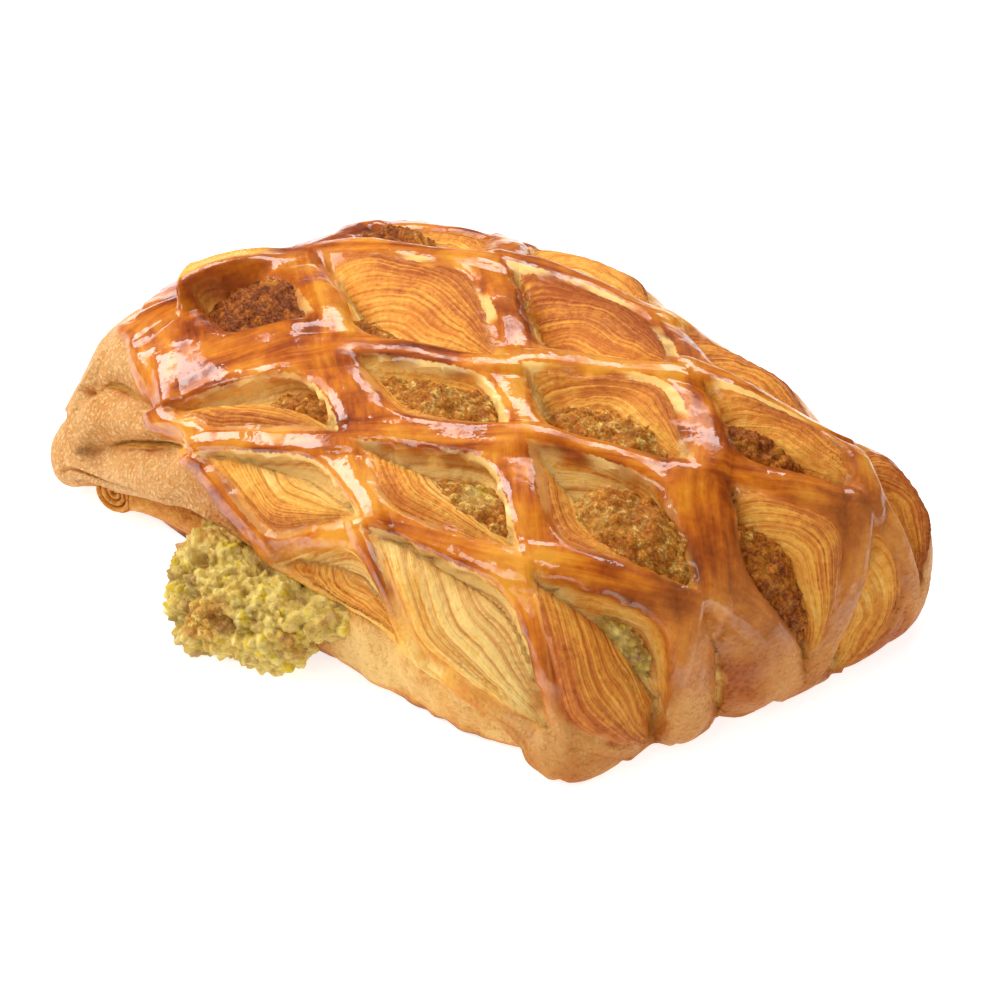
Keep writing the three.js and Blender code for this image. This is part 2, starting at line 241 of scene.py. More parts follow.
@dataclass(frozen=True)
class PastryForm:
    """The smooth outer form, in millimetres, over sheet coordinates that are 1 at the belly."""

    half_length: float = 75.0
    half_width: float = 48.5
    height: float = 44.0
    squareness: float = 4.4
    fullness: float = 2.42
    crown: float = 0.25
    belly: float = 10.0
    tuck: float = 0.06
    foot_span: float = 0.2
    under_reach: float = 0.9
    shear: float = 0.18
    lobes: tuple[Lobe, ...] = (
        Lobe((-0.83, -1.05), (0.13, 0.17), (-1.6, -5.0, 0.0)),
        Lobe((-0.86, -0.66), (0.15, 0.13), (3.0, 3.0, 0.0)),
        Lobe((-0.15, 0.66), (0.115, 0.16), (0.0, 2.0, 3.8)),
        Lobe((0.46, 0.68), (0.07, 0.14), (0.0, -1.8, -3.8)),
        Lobe((1.0, -0.95), (0.11, 0.13), (3.4, -3.6, 0.0)),
        Lobe((1.12, -0.64), (0.1, 0.06), (-2.6, 2.6, 0.0)),
    )
    seam: float = 8.45
    clearance: float = 0.06
    front_lift: Span = (60.0, -18.0)
    left_lift: Span = (-46.0, 34.0)
    lift_span: float = 14.0
    rim_rise: float = 8.0
    rim_start: Span = (-58.0, -20.0)
    rim_end: Span = (18.0, 50.0)
    rim_curl: float = 2.5
    sag: float = 7.2
    sag_place: float = -67.0
    sag_size: float = 10.0
    sag_width: float = 20.0
    puff_start: Span = (-8.0, 6.0)
    puff_end: Span = (36.0, 54.0)
    puff_depth: Span = (-28.0, -38.0)
    probe: float = 0.008
    nearest: float = 1e-9

    def radius(self, s: Array, t: Array) -> Array:
        """Distance of a sheet point from the crown, 1 at the belly."""
        k = self.squareness
        return np.maximum((np.abs(s) ** k + np.abs(t) ** k) ** (1.0 / k), self.nearest)

    def lifted(self, limits: Span, x: Array, y: Array) -> Array:
        """Share by which a stretch of the foot is off the ground.

        Args:
            limits: where the stretch ends along the pastry and across it.
            x: places along it.
            y: places across it.

        Returns:
            Shares from 0 at the limits to 1.
        """
        along, across = (np.clip((end - v) / self.lift_span, 0, 1) for end, v in zip(limits, (x, y)))
        return np.minimum(along, across)

    def rims(self, s: Array, t: Array) -> tuple[Array, Array]:
        """Find the belly and the lower rim, both raised along the front over the squeezed-out filling.

        Args:
            s: sheet coordinate along the pastry.
            t: sheet coordinate across it.

        Returns:
            Height of the belly and height of the rim in millimetres.
        """
        r = self.radius(s, t)
        y = self.half_width * t / r
        x = self.half_length * s / r + self.shear * y
        front = self.lifted(self.front_lift, x, y)
        lift = smooth(0.0, 1.0, np.maximum(front, self.lifted(self.left_lift, x, y)))
        rise = smooth(*self.rim_start, x) * (1.0 - smooth(*self.rim_end, x)) * front
        belly = self.belly + self.rim_rise * rise
        sag = self.sag * smooth(self.sag_place + self.sag_size, self.sag_place, x)
        sag = sag * np.clip(-y / self.sag_width, 0, 1)
        rim = self.clearance + (self.seam - self.clearance - sag) * lift
        curled = belly - self.belly + (self.belly - self.rim_curl) * front - sag * lift
        return belly, np.maximum(rim, curled)

    def puff(self, x: Array, y: Array) -> Array:
        """Share of the pale, puffed front where the base swells up to the rim."""
        along = smooth(*self.puff_start, x) * (1.0 - smooth(*self.puff_end, x))
        return along * smooth(*self.puff_depth, y)

    def point(self, s: Array, t: Array) -> Array:
        """Place sheet coordinates on the smooth form.

        Args:
            s: sheet coordinate along the pastry.
            t: sheet coordinate across it.

        Returns:
            Points in millimetres, one row each.
        """
        r = self.radius(s, t)
        q = np.minimum(r, 1.0)
        angle = q * (1.0 - self.crown + self.crown * q * q) * math.pi / 2
        c = np.maximum(np.cos(angle), 0.0)
        bulge = (c**self.fullness + np.sin(angle) ** self.fullness) ** (-1.0 / self.fullness)
        reach = bulge * np.sin(angle)
        belly, foot = self.rims(s, t)
        z = belly + (self.height - belly) * bulge * c
        under = np.clip((r - 1.0) / self.foot_span, 0.0, 1.0) * math.pi / 2
        inward = np.maximum(r - 1.0 - self.foot_span, 0.0)
        below = r > 1.0
        tucked = 1.0 - self.tuck * (1.0 - np.cos(under)) - self.under_reach * inward
        reach = np.where(below, tucked, reach)
        z = np.where(below, belly - (belly - foot) * np.sin(under), z)
        y = self.half_width * t / r * reach
        x = self.half_length * s / r * reach + self.shear * y
        point = np.stack([x, y, z], axis=-1)
        for lobe in self.lobes:
            point = point + lobe.shift(s, t)
        return point

    def normal(self, s: Array, t: Array) -> Array:
        """Find the outward directions of the smooth form.

        Args:
            s: sheet coordinate along the pastry.
            t: sheet coordinate across it.

        Returns:
            Directions of length one, one row each.
        """
        h = self.probe
        along = self.point(s + h, t) - self.point(s - h, t)
        across = self.point(s, t + h) - self.point(s, t - h)
        return unit(np.cross(along, across))


@dataclass(frozen=True)
class Eye:
    """What one named opening of the lattice shows.

    The middle is where its deepest line lies, from -1 at the lower edge to 1 at the upper edge. The filling's
    place runs along the opening and across it, in cells from its centre. Depths are in millimetres.
    """

    middle: float | None = None
    depth: float | None = None
    filling_depth: float = 4.5
    filling_place: Span = (0.08, 0.0)
    filling_size: Span = (0.3, 0.24)
    squeeze: float = 1.0
    pillow: float = 0.0
    bulge: float = 1.6
    trim: float = 0.0
    bake: float = 0.0
    toasted: float = 1.0


@dataclass
class Opening:
    """How points of the sheet lie in and beside the opening of their cell.

    Attributes:
        cell: the values of the cell.
        cut: 1 where the cell is cut, 0 where it is only dimpled.
        outside: millimetres from the opening's edge, below 0 within it.
        upper: whether the point lies on the upper wall.
        ratio: 0 at the edge to 1 at the deepest line.
        fan: 0 at the edge to 1 over the layers, which fan out along the wall.
        broad: 1 on a broad, sloping wall and 0 on a steep one.
        tip: 1 in the opening's middle, falling to 0 at its tips.
        run: millimetres along the opening.
        turn: 1 where the nearest strip is of the first family, 0 where it is of the second.
    """

    cell: dict[str, Array]
    cut: Array
    outside: Array
    upper: Array
    ratio: Array
    fan: Array
    broad: Array
    tip: Array
    run: Array
    turn: Array


@dataclass(frozen=True)
class Lattice:
    """Diamond lattice cut into the top sheet: cells at whole steps, strips half way between them.

    Each stray is a place along and across the lattice and the shift of the sheet there, along and across.
    """

    form: PastryForm = field(default_factory=PastryForm)
    period_along: float = 0.45
    shift_along: float = 0.075
    period_across: float = 0.66
    shift_across: float = 0.45
    close_up: float = 0.14
    pitch: float = 27.0
    diagonal: float = 1.41
    strip_half: float = 4.3
    bend: float = 0.06
    tip_reach: float = 0.425
    middle_most: float = 0.7
    middle_line: float = -0.2
    middle_slope: float = 2.0
    blind_lean: float = 0.4
    uncut: float = -1.25
    cut_reach: float = 1.02
    open_reach: float = 0.74
    blind_span: float = 0.5
    blind_front: float = -0.5
    shallow: float = 2.0
    broad_span: Span = (0.25, 0.75)
    fan_span: Span = (-0.14, 0.22)
    turn_span: Span = (-0.08, 0.08)
    low_cell: int = -8
    cell_count: int = 17
    lot_seed: int = 7
    lot_row: int = 3
    sway_scale: float = 11.0
    sway_along: Wave = Wave(0.008, 9.0, 11, 2)
    sway_across: Wave = Wave(0.012, 9.0, 23, 2)
    stray_span: float = 0.3
    strays: tuple[tuple[float, float, float, float], ...] = (
        (-2.0, -0.5, 0.13, -0.19),
        (-1.5, -1.0, -0.07, -0.11),
        (-1.5, 0.0, 0.07, -0.24),
        (-1.0, -0.5, 0.03, -0.16),
        (-1.0, 0.5, -0.17, 0.05),
        (-0.5, -1.0, -0.07, -0.015),
        (-0.5, 1.0, -0.07, 0.03),
        (-0.5, 0.0, 0.005, -0.06),
        (0.0, 0.5, 0.047, -0.07),
        (0.5, -1.0, -0.045, 0.054),
        (1.5, -1.0, 0.1, -0.04),
        (1.5, 0.0, 0.003, 0.047),
        (1.5, 1.0, -0.05, 0.08),
        (2.0, -0.5, 0.12, -0.06),
        (2.0, 0.5, 0.14, 0.0),
    )
    eyes: dict[tuple[float, float], Eye] = field(
        default_factory=lambda: {
            (-1.0, 0.0): Eye(0.0, 7.0, 0.2, (0.03, 0.15), (0.38, 0.28), trim=0.22, bake=0.32, toasted=1.4),
            (-1.0, 1.0): Eye(-0.2, 7.0, -0.6, (-0.12, -0.12), (0.3, 0.25), toasted=1.35),
            (-0.5, 0.5): Eye(-0.6, 8.0, 6.0, (0.03, -0.17), (0.26, 0.14), bake=0.08, toasted=1.1),
            (0.0, 1.0): Eye(-0.6, 7.0, NO_FILLING, bake=0.24),
            (-0.5, -0.5): Eye(0.6, 5.5, 2.0, (0.17, 0.1), (0.28, 0.24)),
            (0.0, 0.0): Eye(0.1, 7.5, 1.2, (0.04, 0.04), (0.42, 0.3), trim=0.07, toasted=0.86),
            (0.5, 0.5): Eye(-0.35, 8.0, 2.2, (0.12, -0.04), (0.38, 0.28), toasted=0.82),
            (1.0, 1.0): Eye(-0.6, 8.0, 2.4, (0.0, -0.14), (0.3, 0.2), toasted=1.2),
            (0.5, -0.5): Eye(0.6, 6.5, 1.8, (0.13, 0.07), (0.3, 0.24), bake=-0.1, toasted=0.84),
            (1.0, 0.0): Eye(0.15, 9.0, 0.4, (0.15, 0.05), (0.36, 0.33), toasted=0.94),
            (0.0, -1.0): Eye(0.62, 4.5, NO_FILLING, bake=-0.1),
            (1.0, -1.0): Eye(0.72, 4.5, NO_FILLING, trim=-0.08, bake=-0.42),
            (0.5, 1.5): Eye(bake=0.1),
            (1.0, 2.0): Eye(bake=0.2),
            (1.5, 1.5): Eye(bake=0.24, bulge=2.6),
            (-0.5, -1.5): Eye(0.0, 1.0, NO_FILLING),
            (1.5, 0.5): Eye(
                -0.5, 9.0, 1.2, (0.1, -0.04), (0.42, 0.22), bulge=3.6, trim=0.11, bake=-0.04, toasted=1.2
            ),
            (1.5, -0.5): Eye(
                0.5, 8.0, 6.0, (0.0, 0.13), (0.26, 0.1), bulge=3.6, trim=-0.1, bake=0.1, toasted=0.0
            ),
            (2.0, 0.0): Eye(0.1, 6.0, NO_FILLING, squeeze=0.12, pillow=1.0),
            (-1.5, -0.5): Eye(0.3, 4.0, NO_FILLING, squeeze=0.12, pillow=1.0),
            (-1.0, -1.0): Eye(0.5, 5.0, NO_FILLING, squeeze=0.3, pillow=1.0),
        }
    )

    def to_sheet(self, a: Array, b: Array) -> tuple[Array, Array]:
        """Turn lattice coordinates into sheet coordinates, with the lattice's uneven stretch.

        Args:
            a: lattice coordinate of one strip family.
            b: lattice coordinate of the other family.

        Returns:
            Sheet coordinates along and across the pastry.
        """
        along = (a + b) / 2
        across = (a - b) / 2
        y = across - self.shift_across
        s = self.shift_along + self.period_along * along
        t = self.period_across * y / (1.0 + self.close_up * np.abs(y))
        for x0, y0, shift_s, shift_t in self.strays:
            weight = np.exp(-((along - x0) ** 2 + (across - y0) ** 2) / (2 * self.stray_span**2))
            s = s + weight * shift_s
            t = t + weight * shift_t
        flat = np.stack([a * self.sway_scale, b * self.sway_scale, np.zeros_like(a)], axis=-1)
        return s + self.sway_along.at(flat), t + self.sway_across.at(flat)

    def kind(self, along: float, r: float, t: float) -> CellKind:
        """Choose how far a cell is cut.

        Args:
            along: the cell's place along the lattice.
            r: its distance from the crown, 1 at the belly.
            t: its sheet coordinate across the pastry.

        Returns:
            The kind of cell.
        """
        if along < self.uncut or r > self.cut_reach:
            return CellKind.DIMPLE
        if r > self.open_reach or (along < self.uncut + self.blind_span and t < self.blind_front):
            return CellKind.BLIND
        return CellKind.OPEN

    def cell(self, i: int, j: int) -> dict[str, float]:
        """Work out one cell's cut and filling.

        Args:
            i: number of the cell in one strip family, counted from 0.
            j: its number in the other family.

        Returns:
            The cut's depth and middle, the filling's depth, place and size, the other values of the cell's
            opening, and a steady random lot.
        """
        a, b = float(i + self.low_cell), float(j + self.low_cell)
        along, across = (a + b) / 2, (a - b) / 2
        s, t = self.to_sheet(np.array([a]), np.array([b]))
        kind = self.kind(along, float(self.form.radius(s, t)[0]), float(t[0]))
        lean = float(np.clip(self.middle_slope * (t[0] - self.middle_line), -1, 1))
        middle = -self.middle_most * lean * (self.blind_lean if kind is CellKind.BLIND else 1.0)
        eye = self.eyes.get((along, across), Eye())
        filled = kind is CellKind.OPEN or eye.depth is not None
        values = {
            "depth": kind.value if eye.depth is None else eye.depth,
            "middle": middle if eye.middle is None else eye.middle,
            "fill": eye.filling_depth if filled else NO_FILLING,
            "place_x": eye.filling_place[0],
            "place_y": eye.filling_place[1],
            "size_x": eye.filling_size[0],
            "size_y": eye.filling_size[1],
            "lot": Grain.draw(np.array([[i, j, self.lot_row]]), self.lot_seed)[0],
        }
        for name in ("squeeze", "pillow", "bulge", "trim", "bake", "toasted"):
            values[name] = getattr(eye, name)
        return values

    def cell_values(self, a: Array, b: Array) -> dict[str, Array]:
        """Look up the values of the cell that each point lies in.

        Args:
            a: lattice coordinates of one strip family.
            b: lattice coordinates of the other.

        Returns:
            The named values at each point.
        """
        count = self.cell_count
        cells = [self.cell(i, j) for i in range(count) for j in range(count)]
        row = (np.rint(a).astype(int) - self.low_cell) * count + np.rint(b).astype(int) - self.low_cell
        return {name: np.array([cell[name] for cell in cells])[row] for name in cells[0]}

    def opening(self, a: Array, b: Array, half: Array) -> Opening:
        """Find how points lie in the lens-shaped openings between the strips.

        Args:
            a: lattice coordinates of one strip family.
            b: lattice coordinates of the other.
            half: half the strips' width in millimetres.

        Returns:
            The points' places in their openings.
        """
        cell = self.cell_values(a, b)
        open_cell = cell["depth"] > self.shallow
        middle, trim = cell["middle"], cell["trim"] / 2
        u, v = a - np.rint(a), b - np.rint(b)
        x, y = (u + v) / 2, (u - v) / 2 - trim
        clear = 0.5 - half / self.pitch
        pull = np.sqrt(clear**2 - self.bend**2) / self.tip_reach
        root = np.sqrt((pull * x) ** 2 + self.bend**2)
        edge = (clear - root) * cell["squeeze"] - trim
        inner = np.maximum(edge, NEARLY_NONE)
        slope = np.sqrt(0.5 * (1.0 + (x / root) ** 2))
        deepest = middle * inner
        upper = y > deepest
        width = np.where(upper, inner - deepest, inner + deepest)
        from_edge = np.where(upper, edge - y, edge + y)
        widest = np.maximum((clear - self.bend) * cell["squeeze"] - trim, NEARLY_NONE)
        widest = widest * np.where(upper, 1.0 - middle, 1.0 + middle)
        spread = lerp(widest, width, smooth(*self.fan_span, x))
        return Opening(
            cell=cell,
            cut=np.where(open_cell, 1.0, 0.0),
            outside=(np.abs(y) - edge) * self.pitch / slope,
            upper=upper,
            ratio=np.clip(from_edge / width, 0.0, 1.0),
            fan=np.clip(from_edge / spread, 0.0, 1.0),
            broad=smooth(*self.broad_span, width / (2 * inner)),
            tip=np.clip(inner / (clear - self.bend), 0.0, 1.0) ** 0.5,
            run=x * self.pitch * self.diagonal,
            turn=np.where(open_cell, smooth(*self.turn_span, np.abs(v) - np.abs(u)), 1.0),
        )


@dataclass
class SheetPoints:
    """Points of the smooth sheet with what its strips, walls and tones need to know of them.

    Attributes:
        a: lattice coordinates of one strip family.
        b: lattice coordinates of the other.
        point: positions in millimetres.
        half: half the strips' width in millimetres.
        opening: their places in the openings.
        fade: 1 on the dome, falling to 0 under the foot.
    """

    a: Array
    b: Array
    point: Array
    half: Array
    opening: Opening
    fade: Array


@dataclass
class Relief:
    """The worked-out surface of the lattice sheet at many points, with named values for its finish."""

    position: Array
    values: dict[str, Array]


@dataclass
class Placement:
    """Where the pastry's own millimetre frame lies in the model's frame."""

    middle: Array

    @classmethod
    def from_base(cls, base_x: float, base_y: float, shear: float) -> "Placement":
        """Find the shift from the solid base sheet.

        Args:
            base_x: middle of the base along the pastry before the shear, in millimetres.
            base_y: middle of the base across it, in millimetres.
            shear: lean of the plan.

        Returns:
            The placement.
        """
        low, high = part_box("base_sheet")
        centre = [(low[k] + high[k]) / 2 / MM for k in range(2)]
        return cls(np.array([base_x + shear * base_y - centre[0], base_y - centre[1], 0.0]))

    def to_model(self, points: Array) -> Array:
        """Turn pastry millimetres into model metres."""
        return (points - self.middle) * MM


class MeshMaker:
    """Turns operator-made grids into finished pieces."""

    def __init__(self, placement: Placement) -> None:
        """Keep the placement that every piece shares."""
        self.placement = placement

    @staticmethod
    def grid(columns: int, rows: int) -> bmesh.types.BMesh:
        """Start a flat grid from 0 to 1 both ways.

        Args:
            columns: steps along X.
            rows: steps along Y.

        Returns:
            A new bmesh.
        """
        bm = bmesh.new()
        bmesh.ops.create_grid(bm, x_segments=columns, y_segments=rows, size=0.5)
        bmesh.ops.translate(bm, verts=bm.verts[:], vec=(0.5, 0.5, 0.0))
        return bm

    @staticmethod
    def coordinates(bm: bmesh.types.BMesh) -> Array:
        """Read all vertex positions."""
        return np.array([v.co[:] for v in bm.verts])

    @staticmethod
    def crop(bm: bmesh.types.BMesh, keep: Array) -> None:
        """Delete the vertices that aren't to be kept."""
        drop = [vert for vert, inside in zip(bm.verts, keep) if not inside]
        bmesh.ops.delete(bm, geom=drop, context="VERTS")

    @staticmethod
    def close(bm: bmesh.types.BMesh) -> None:
        """Fill the open rims and turn all faces outwards."""
        bmesh.ops.holes_fill(bm, edges=[edge for edge in bm.edges if edge.is_boundary], sides=0)
        bmesh.ops.recalc_face_normals(bm, faces=bm.faces[:])

    @staticmethod
    def number(bm: bmesh.types.BMesh) -> bmesh.types.BMLayerItem:
        """Number the vertices, to know later which of them are left.

        Args:
            bm: the bmesh.

        Returns:
            The layer that holds the numbers.
        """
        layer = bm.verts.layers.int.new("row")
        for n, vert in enumerate(bm.verts):
            vert[layer] = n
        return layer

    @staticmethod
    def numbers_left(bm: bmesh.types.BMesh, layer: bmesh.types.BMLayerItem) -> Array:
        """Read the numbers of the vertices that are left, and remove their layer.

        Args:
            bm: the bmesh.
            layer: the layer that holds the numbers.

        Returns:
            The old number of each vertex.
        """
        rows = np.array([vert[layer] for vert in bm.verts])
        bm.verts.layers.int.remove(layer)
        return rows

    def finish(
        self, name: str, bm: bmesh.types.BMesh, points: Array, values: dict[str, Array]
    ) -> bpy.types.Object:
        """Move the vertices into place and make the piece.

        Args:
            name: name of the piece.
            bm: its bmesh, which is freed.
            points: new vertex positions in pastry millimetres.
            values: named values per vertex for its finish.

        Returns:
            The new object, linked to the scene.
        """
        mesh = bpy.data.meshes.new(name)
        bm.to_mesh(mesh)
        bm.free()
        mesh.vertices.foreach_set("co", self.placement.to_model(points).astype(np.float32).ravel())
        for key, value in values.items():
            layer = mesh.attributes.new(key, "FLOAT", "POINT")
            layer.data.foreach_set("value", value.astype(np.float32))
        mesh.polygons.foreach_set("use_smooth", np.ones(len(mesh.polygons), dtype=bool))
        mesh.update()
        piece = bpy.data.objects.new(name, mesh)
        bpy.context.scene.collection.objects.link(piece)
        return piece


@dataclass(frozen=True)
class Noise:
    """Noise of a material: width of its waves in millimetres, number and strength of its finer layers."""

    size: float
    detail: float
    rough: float


class Shader:
    """Short ways to build a procedural material."""

    LAYER_SCALE = 2.2
    RUN_SCALE = 0.055
    LOT_STEP = 60.0
    # The place of a streak is already scaled, so its noise has a scale of 1.
    STREAKS = Noise(1.0 / MM, 4.0, 0.62)

    def __init__(self, name: str) -> None:
        """Start a material with a principled shader.

        Args:
            name: name of the material.
        """
        self.material = bpy.data.materials.new(name)
        self.material.use_nodes = True
        self.tree = self.material.node_tree
        self.tree.nodes.clear()
        self.out = self.tree.nodes.new("ShaderNodeOutputMaterial")
        self.body = self.tree.nodes.new("ShaderNodeBsdfPrincipled")
        self.tree.links.new(self.body.outputs[0], self.out.inputs[0])
        self.space = self.tree.nodes.new("ShaderNodeTexCoord").outputs["Object"]

    def link(self, value: object, socket: Socket) -> None:
        """Join a socket or a plain value to an input.

        Args:
            value: the socket, number or colour.
            socket: the input.
        """
        if isinstance(value, Socket):
            self.tree.links.new(value, socket)
        elif isinstance(value, tuple) and len(value) == 3 and socket.type == "RGBA":
            socket.default_value = (*value, 1.0)
        else:
            socket.default_value = value

    def value(self, name: str) -> Socket:
        """Read a named value of the mesh.

        Args:
            name: name of the value.

        Returns:
            The value.
        """
        node = self.tree.nodes.new("ShaderNodeAttribute")
        node.attribute_name = name
        return node.outputs["Fac"]

    def noise(self, kind: Noise, place: Socket | None = None) -> Socket:
        """Noise from about 0 to 1.

        Args:
            kind: size and layers of the noise.
            place: coordinates to use in place of the object's own.

        Returns:
            The noise value.
        """
        node = self.tree.nodes.new("ShaderNodeTexNoise")
        self.link(self.space if place is None else place, node.inputs["Vector"])
        node.inputs["Scale"].default_value = 1.0 / (kind.size * MM)
        node.inputs["Detail"].default_value = kind.detail
        node.inputs["Roughness"].default_value = kind.rough
        return node.outputs[0]

    def bubbles(self, size: float) -> Socket:
        """Rounded cells over the object.

        Args:
            size: width of a cell in millimetres.

        Returns:
            The distance from the nearest cell's middle.
        """
        node = self.tree.nodes.new("ShaderNodeTexVoronoi")
        self.link(self.space, node.inputs["Vector"])
        node.inputs["Scale"].default_value = 1.0 / (size * MM)
        return node.outputs["Distance"]

    def streaks(self, layer: object, run: object, lot: object) -> Socket:
        """Fine streaks that follow the layers of the dough.

        Args:
            layer: place across the layers.
            run: place along them in millimetres.
            lot: a value for each opening.

        Returns:
            The streak value from about 0 to 1.
        """
        place = self.tree.nodes.new("ShaderNodeCombineXYZ")
        scales = (self.LAYER_SCALE, self.RUN_SCALE, self.LOT_STEP)
        for value, scale, socket in zip((layer, run, lot), scales, place.inputs):
            self.link(self.times(value, scale), socket)
        return self.noise(self.STREAKS, place.outputs[0])

    def math(self, kind: str, first: object, second: object = 0.0, third: object = 0.0) -> Socket:
        """One step of arithmetic.

        Args:
            kind: name of the operation.
            first: first input.
            second: second input.
            third: third input.

        Returns:
            The result.
        """
        node = self.tree.nodes.new("ShaderNodeMath")
        node.operation = kind
        for value, socket in zip((first, second, third), node.inputs):
            self.link(value, socket)
        return node.outputs[0]

    def times(self, first: object, second: object) -> Socket:
        """Multiply two values."""
        return self.math("MULTIPLY", first, second)

    def rest(self, value: object) -> Socket:
        """Take a value from 1."""
        return self.math("SUBTRACT", 1.0, value)

    def vary(self, value: object, amount: float, base: object, middle: float = 0.5) -> Socket:
        """Add the swing of one value about its middle to another.

        Args:
            value: the value that swings.
            amount: how much of the swing is added.
            base: the value it is added to.
            middle: the first value's middle.

        Returns:
            The sum.
        """
        return self.math("MULTIPLY_ADD", self.math("SUBTRACT", value, middle), amount, base)

    def fit(
        self, value: object, low: float, high: float, to_low: float = 0.0, to_high: float = 1.0
    ) -> Socket:
        """Map one range of values smoothly onto another.

        Args:
            value: the value to map.
            low: start of its range.
            high: end of its range.
            to_low: result at the start.
            to_high: result at the end.

        Returns:
            The mapped value.
        """
        node = self.tree.nodes.new("ShaderNodeMapRange")
        node.interpolation_type = "SMOOTHSTEP"
        for item, socket in zip((value, low, high, to_low, to_high), node.inputs):
            self.link(item, socket)
        return node.outputs[0]

    def ramp(self, value: object, stops: Sequence[tuple[float, Colour]]) -> Socket:
        """Colour by value.

        Args:
            value: input from 0 to 1.
            stops: places and linear colours.

        Returns:
            The colour.
        """
        node = self.tree.nodes.new("ShaderNodeValToRGB")
        elements = node.color_ramp.elements
        while len(elements) < len(stops):
            elements.new(0.5)
        for element, (place, colour) in zip(elements, stops):
            element.position = place
            element.color = (*colour, 1.0)
        self.link(value, node.inputs[0])
        return node.outputs[0]

    def mix(self, share: object, first: object, second: object, kind: MixKind = MixKind.COLOUR) -> Socket:
        """Blend two colours or directions.

        Args:
            share: how much of the second.
            first: the first one.
            second: the second one.
            kind: what is blended.

        Returns:
            The blend.
        """
        node = self.tree.nodes.new("ShaderNodeMix")
        node.data_type, first_input, second_input, output = kind.value
        for value, number in ((share, 0), (first, first_input), (second, second_input)):
            self.link(value, node.inputs[number])
        return node.outputs[output]

    def bump(self, height: object, distance: float, strength: float, below: object | None = None) -> Socket:
        """Raise fine relief.

        Args:
            height: relief from about 0 to 1.
            distance: height of the relief in millimetres.
            strength: share of it that is used.
            below: relief that this one lies on.

        Returns:
            The bent normal.
        """
        node = self.tree.nodes.new("ShaderNodeBump")
        node.inputs["Distance"].default_value = distance * MM
        node.inputs["Strength"].default_value = strength
        self.link(height, node.inputs["Height"])
        if below is not None:
            self.link(below, node.inputs["Normal"])
        return node.outputs[0]

    def set(self, **inputs: object) -> None:
        """Set the principled shader's inputs, with spaces in names written as underscores."""
        for name, value in inputs.items():
            self.link(value, self.body.inputs[name.replace("_", " ")])


def srgb(code: str) -> Colour:
    """Turn a colour code into linear values.

    Args:
        code: six hexadecimal digits.

    Returns:
        Linear red, green and blue.
    """
    parts = [int(code[k : k + 2], 16) / 255.0 for k in (0, 2, 4)]
    red, green, blue = (p / 12.92 if p <= 0.04045 else ((p + 0.055) / 1.055) ** 2.4 for p in parts)
    return (red, green, blue)


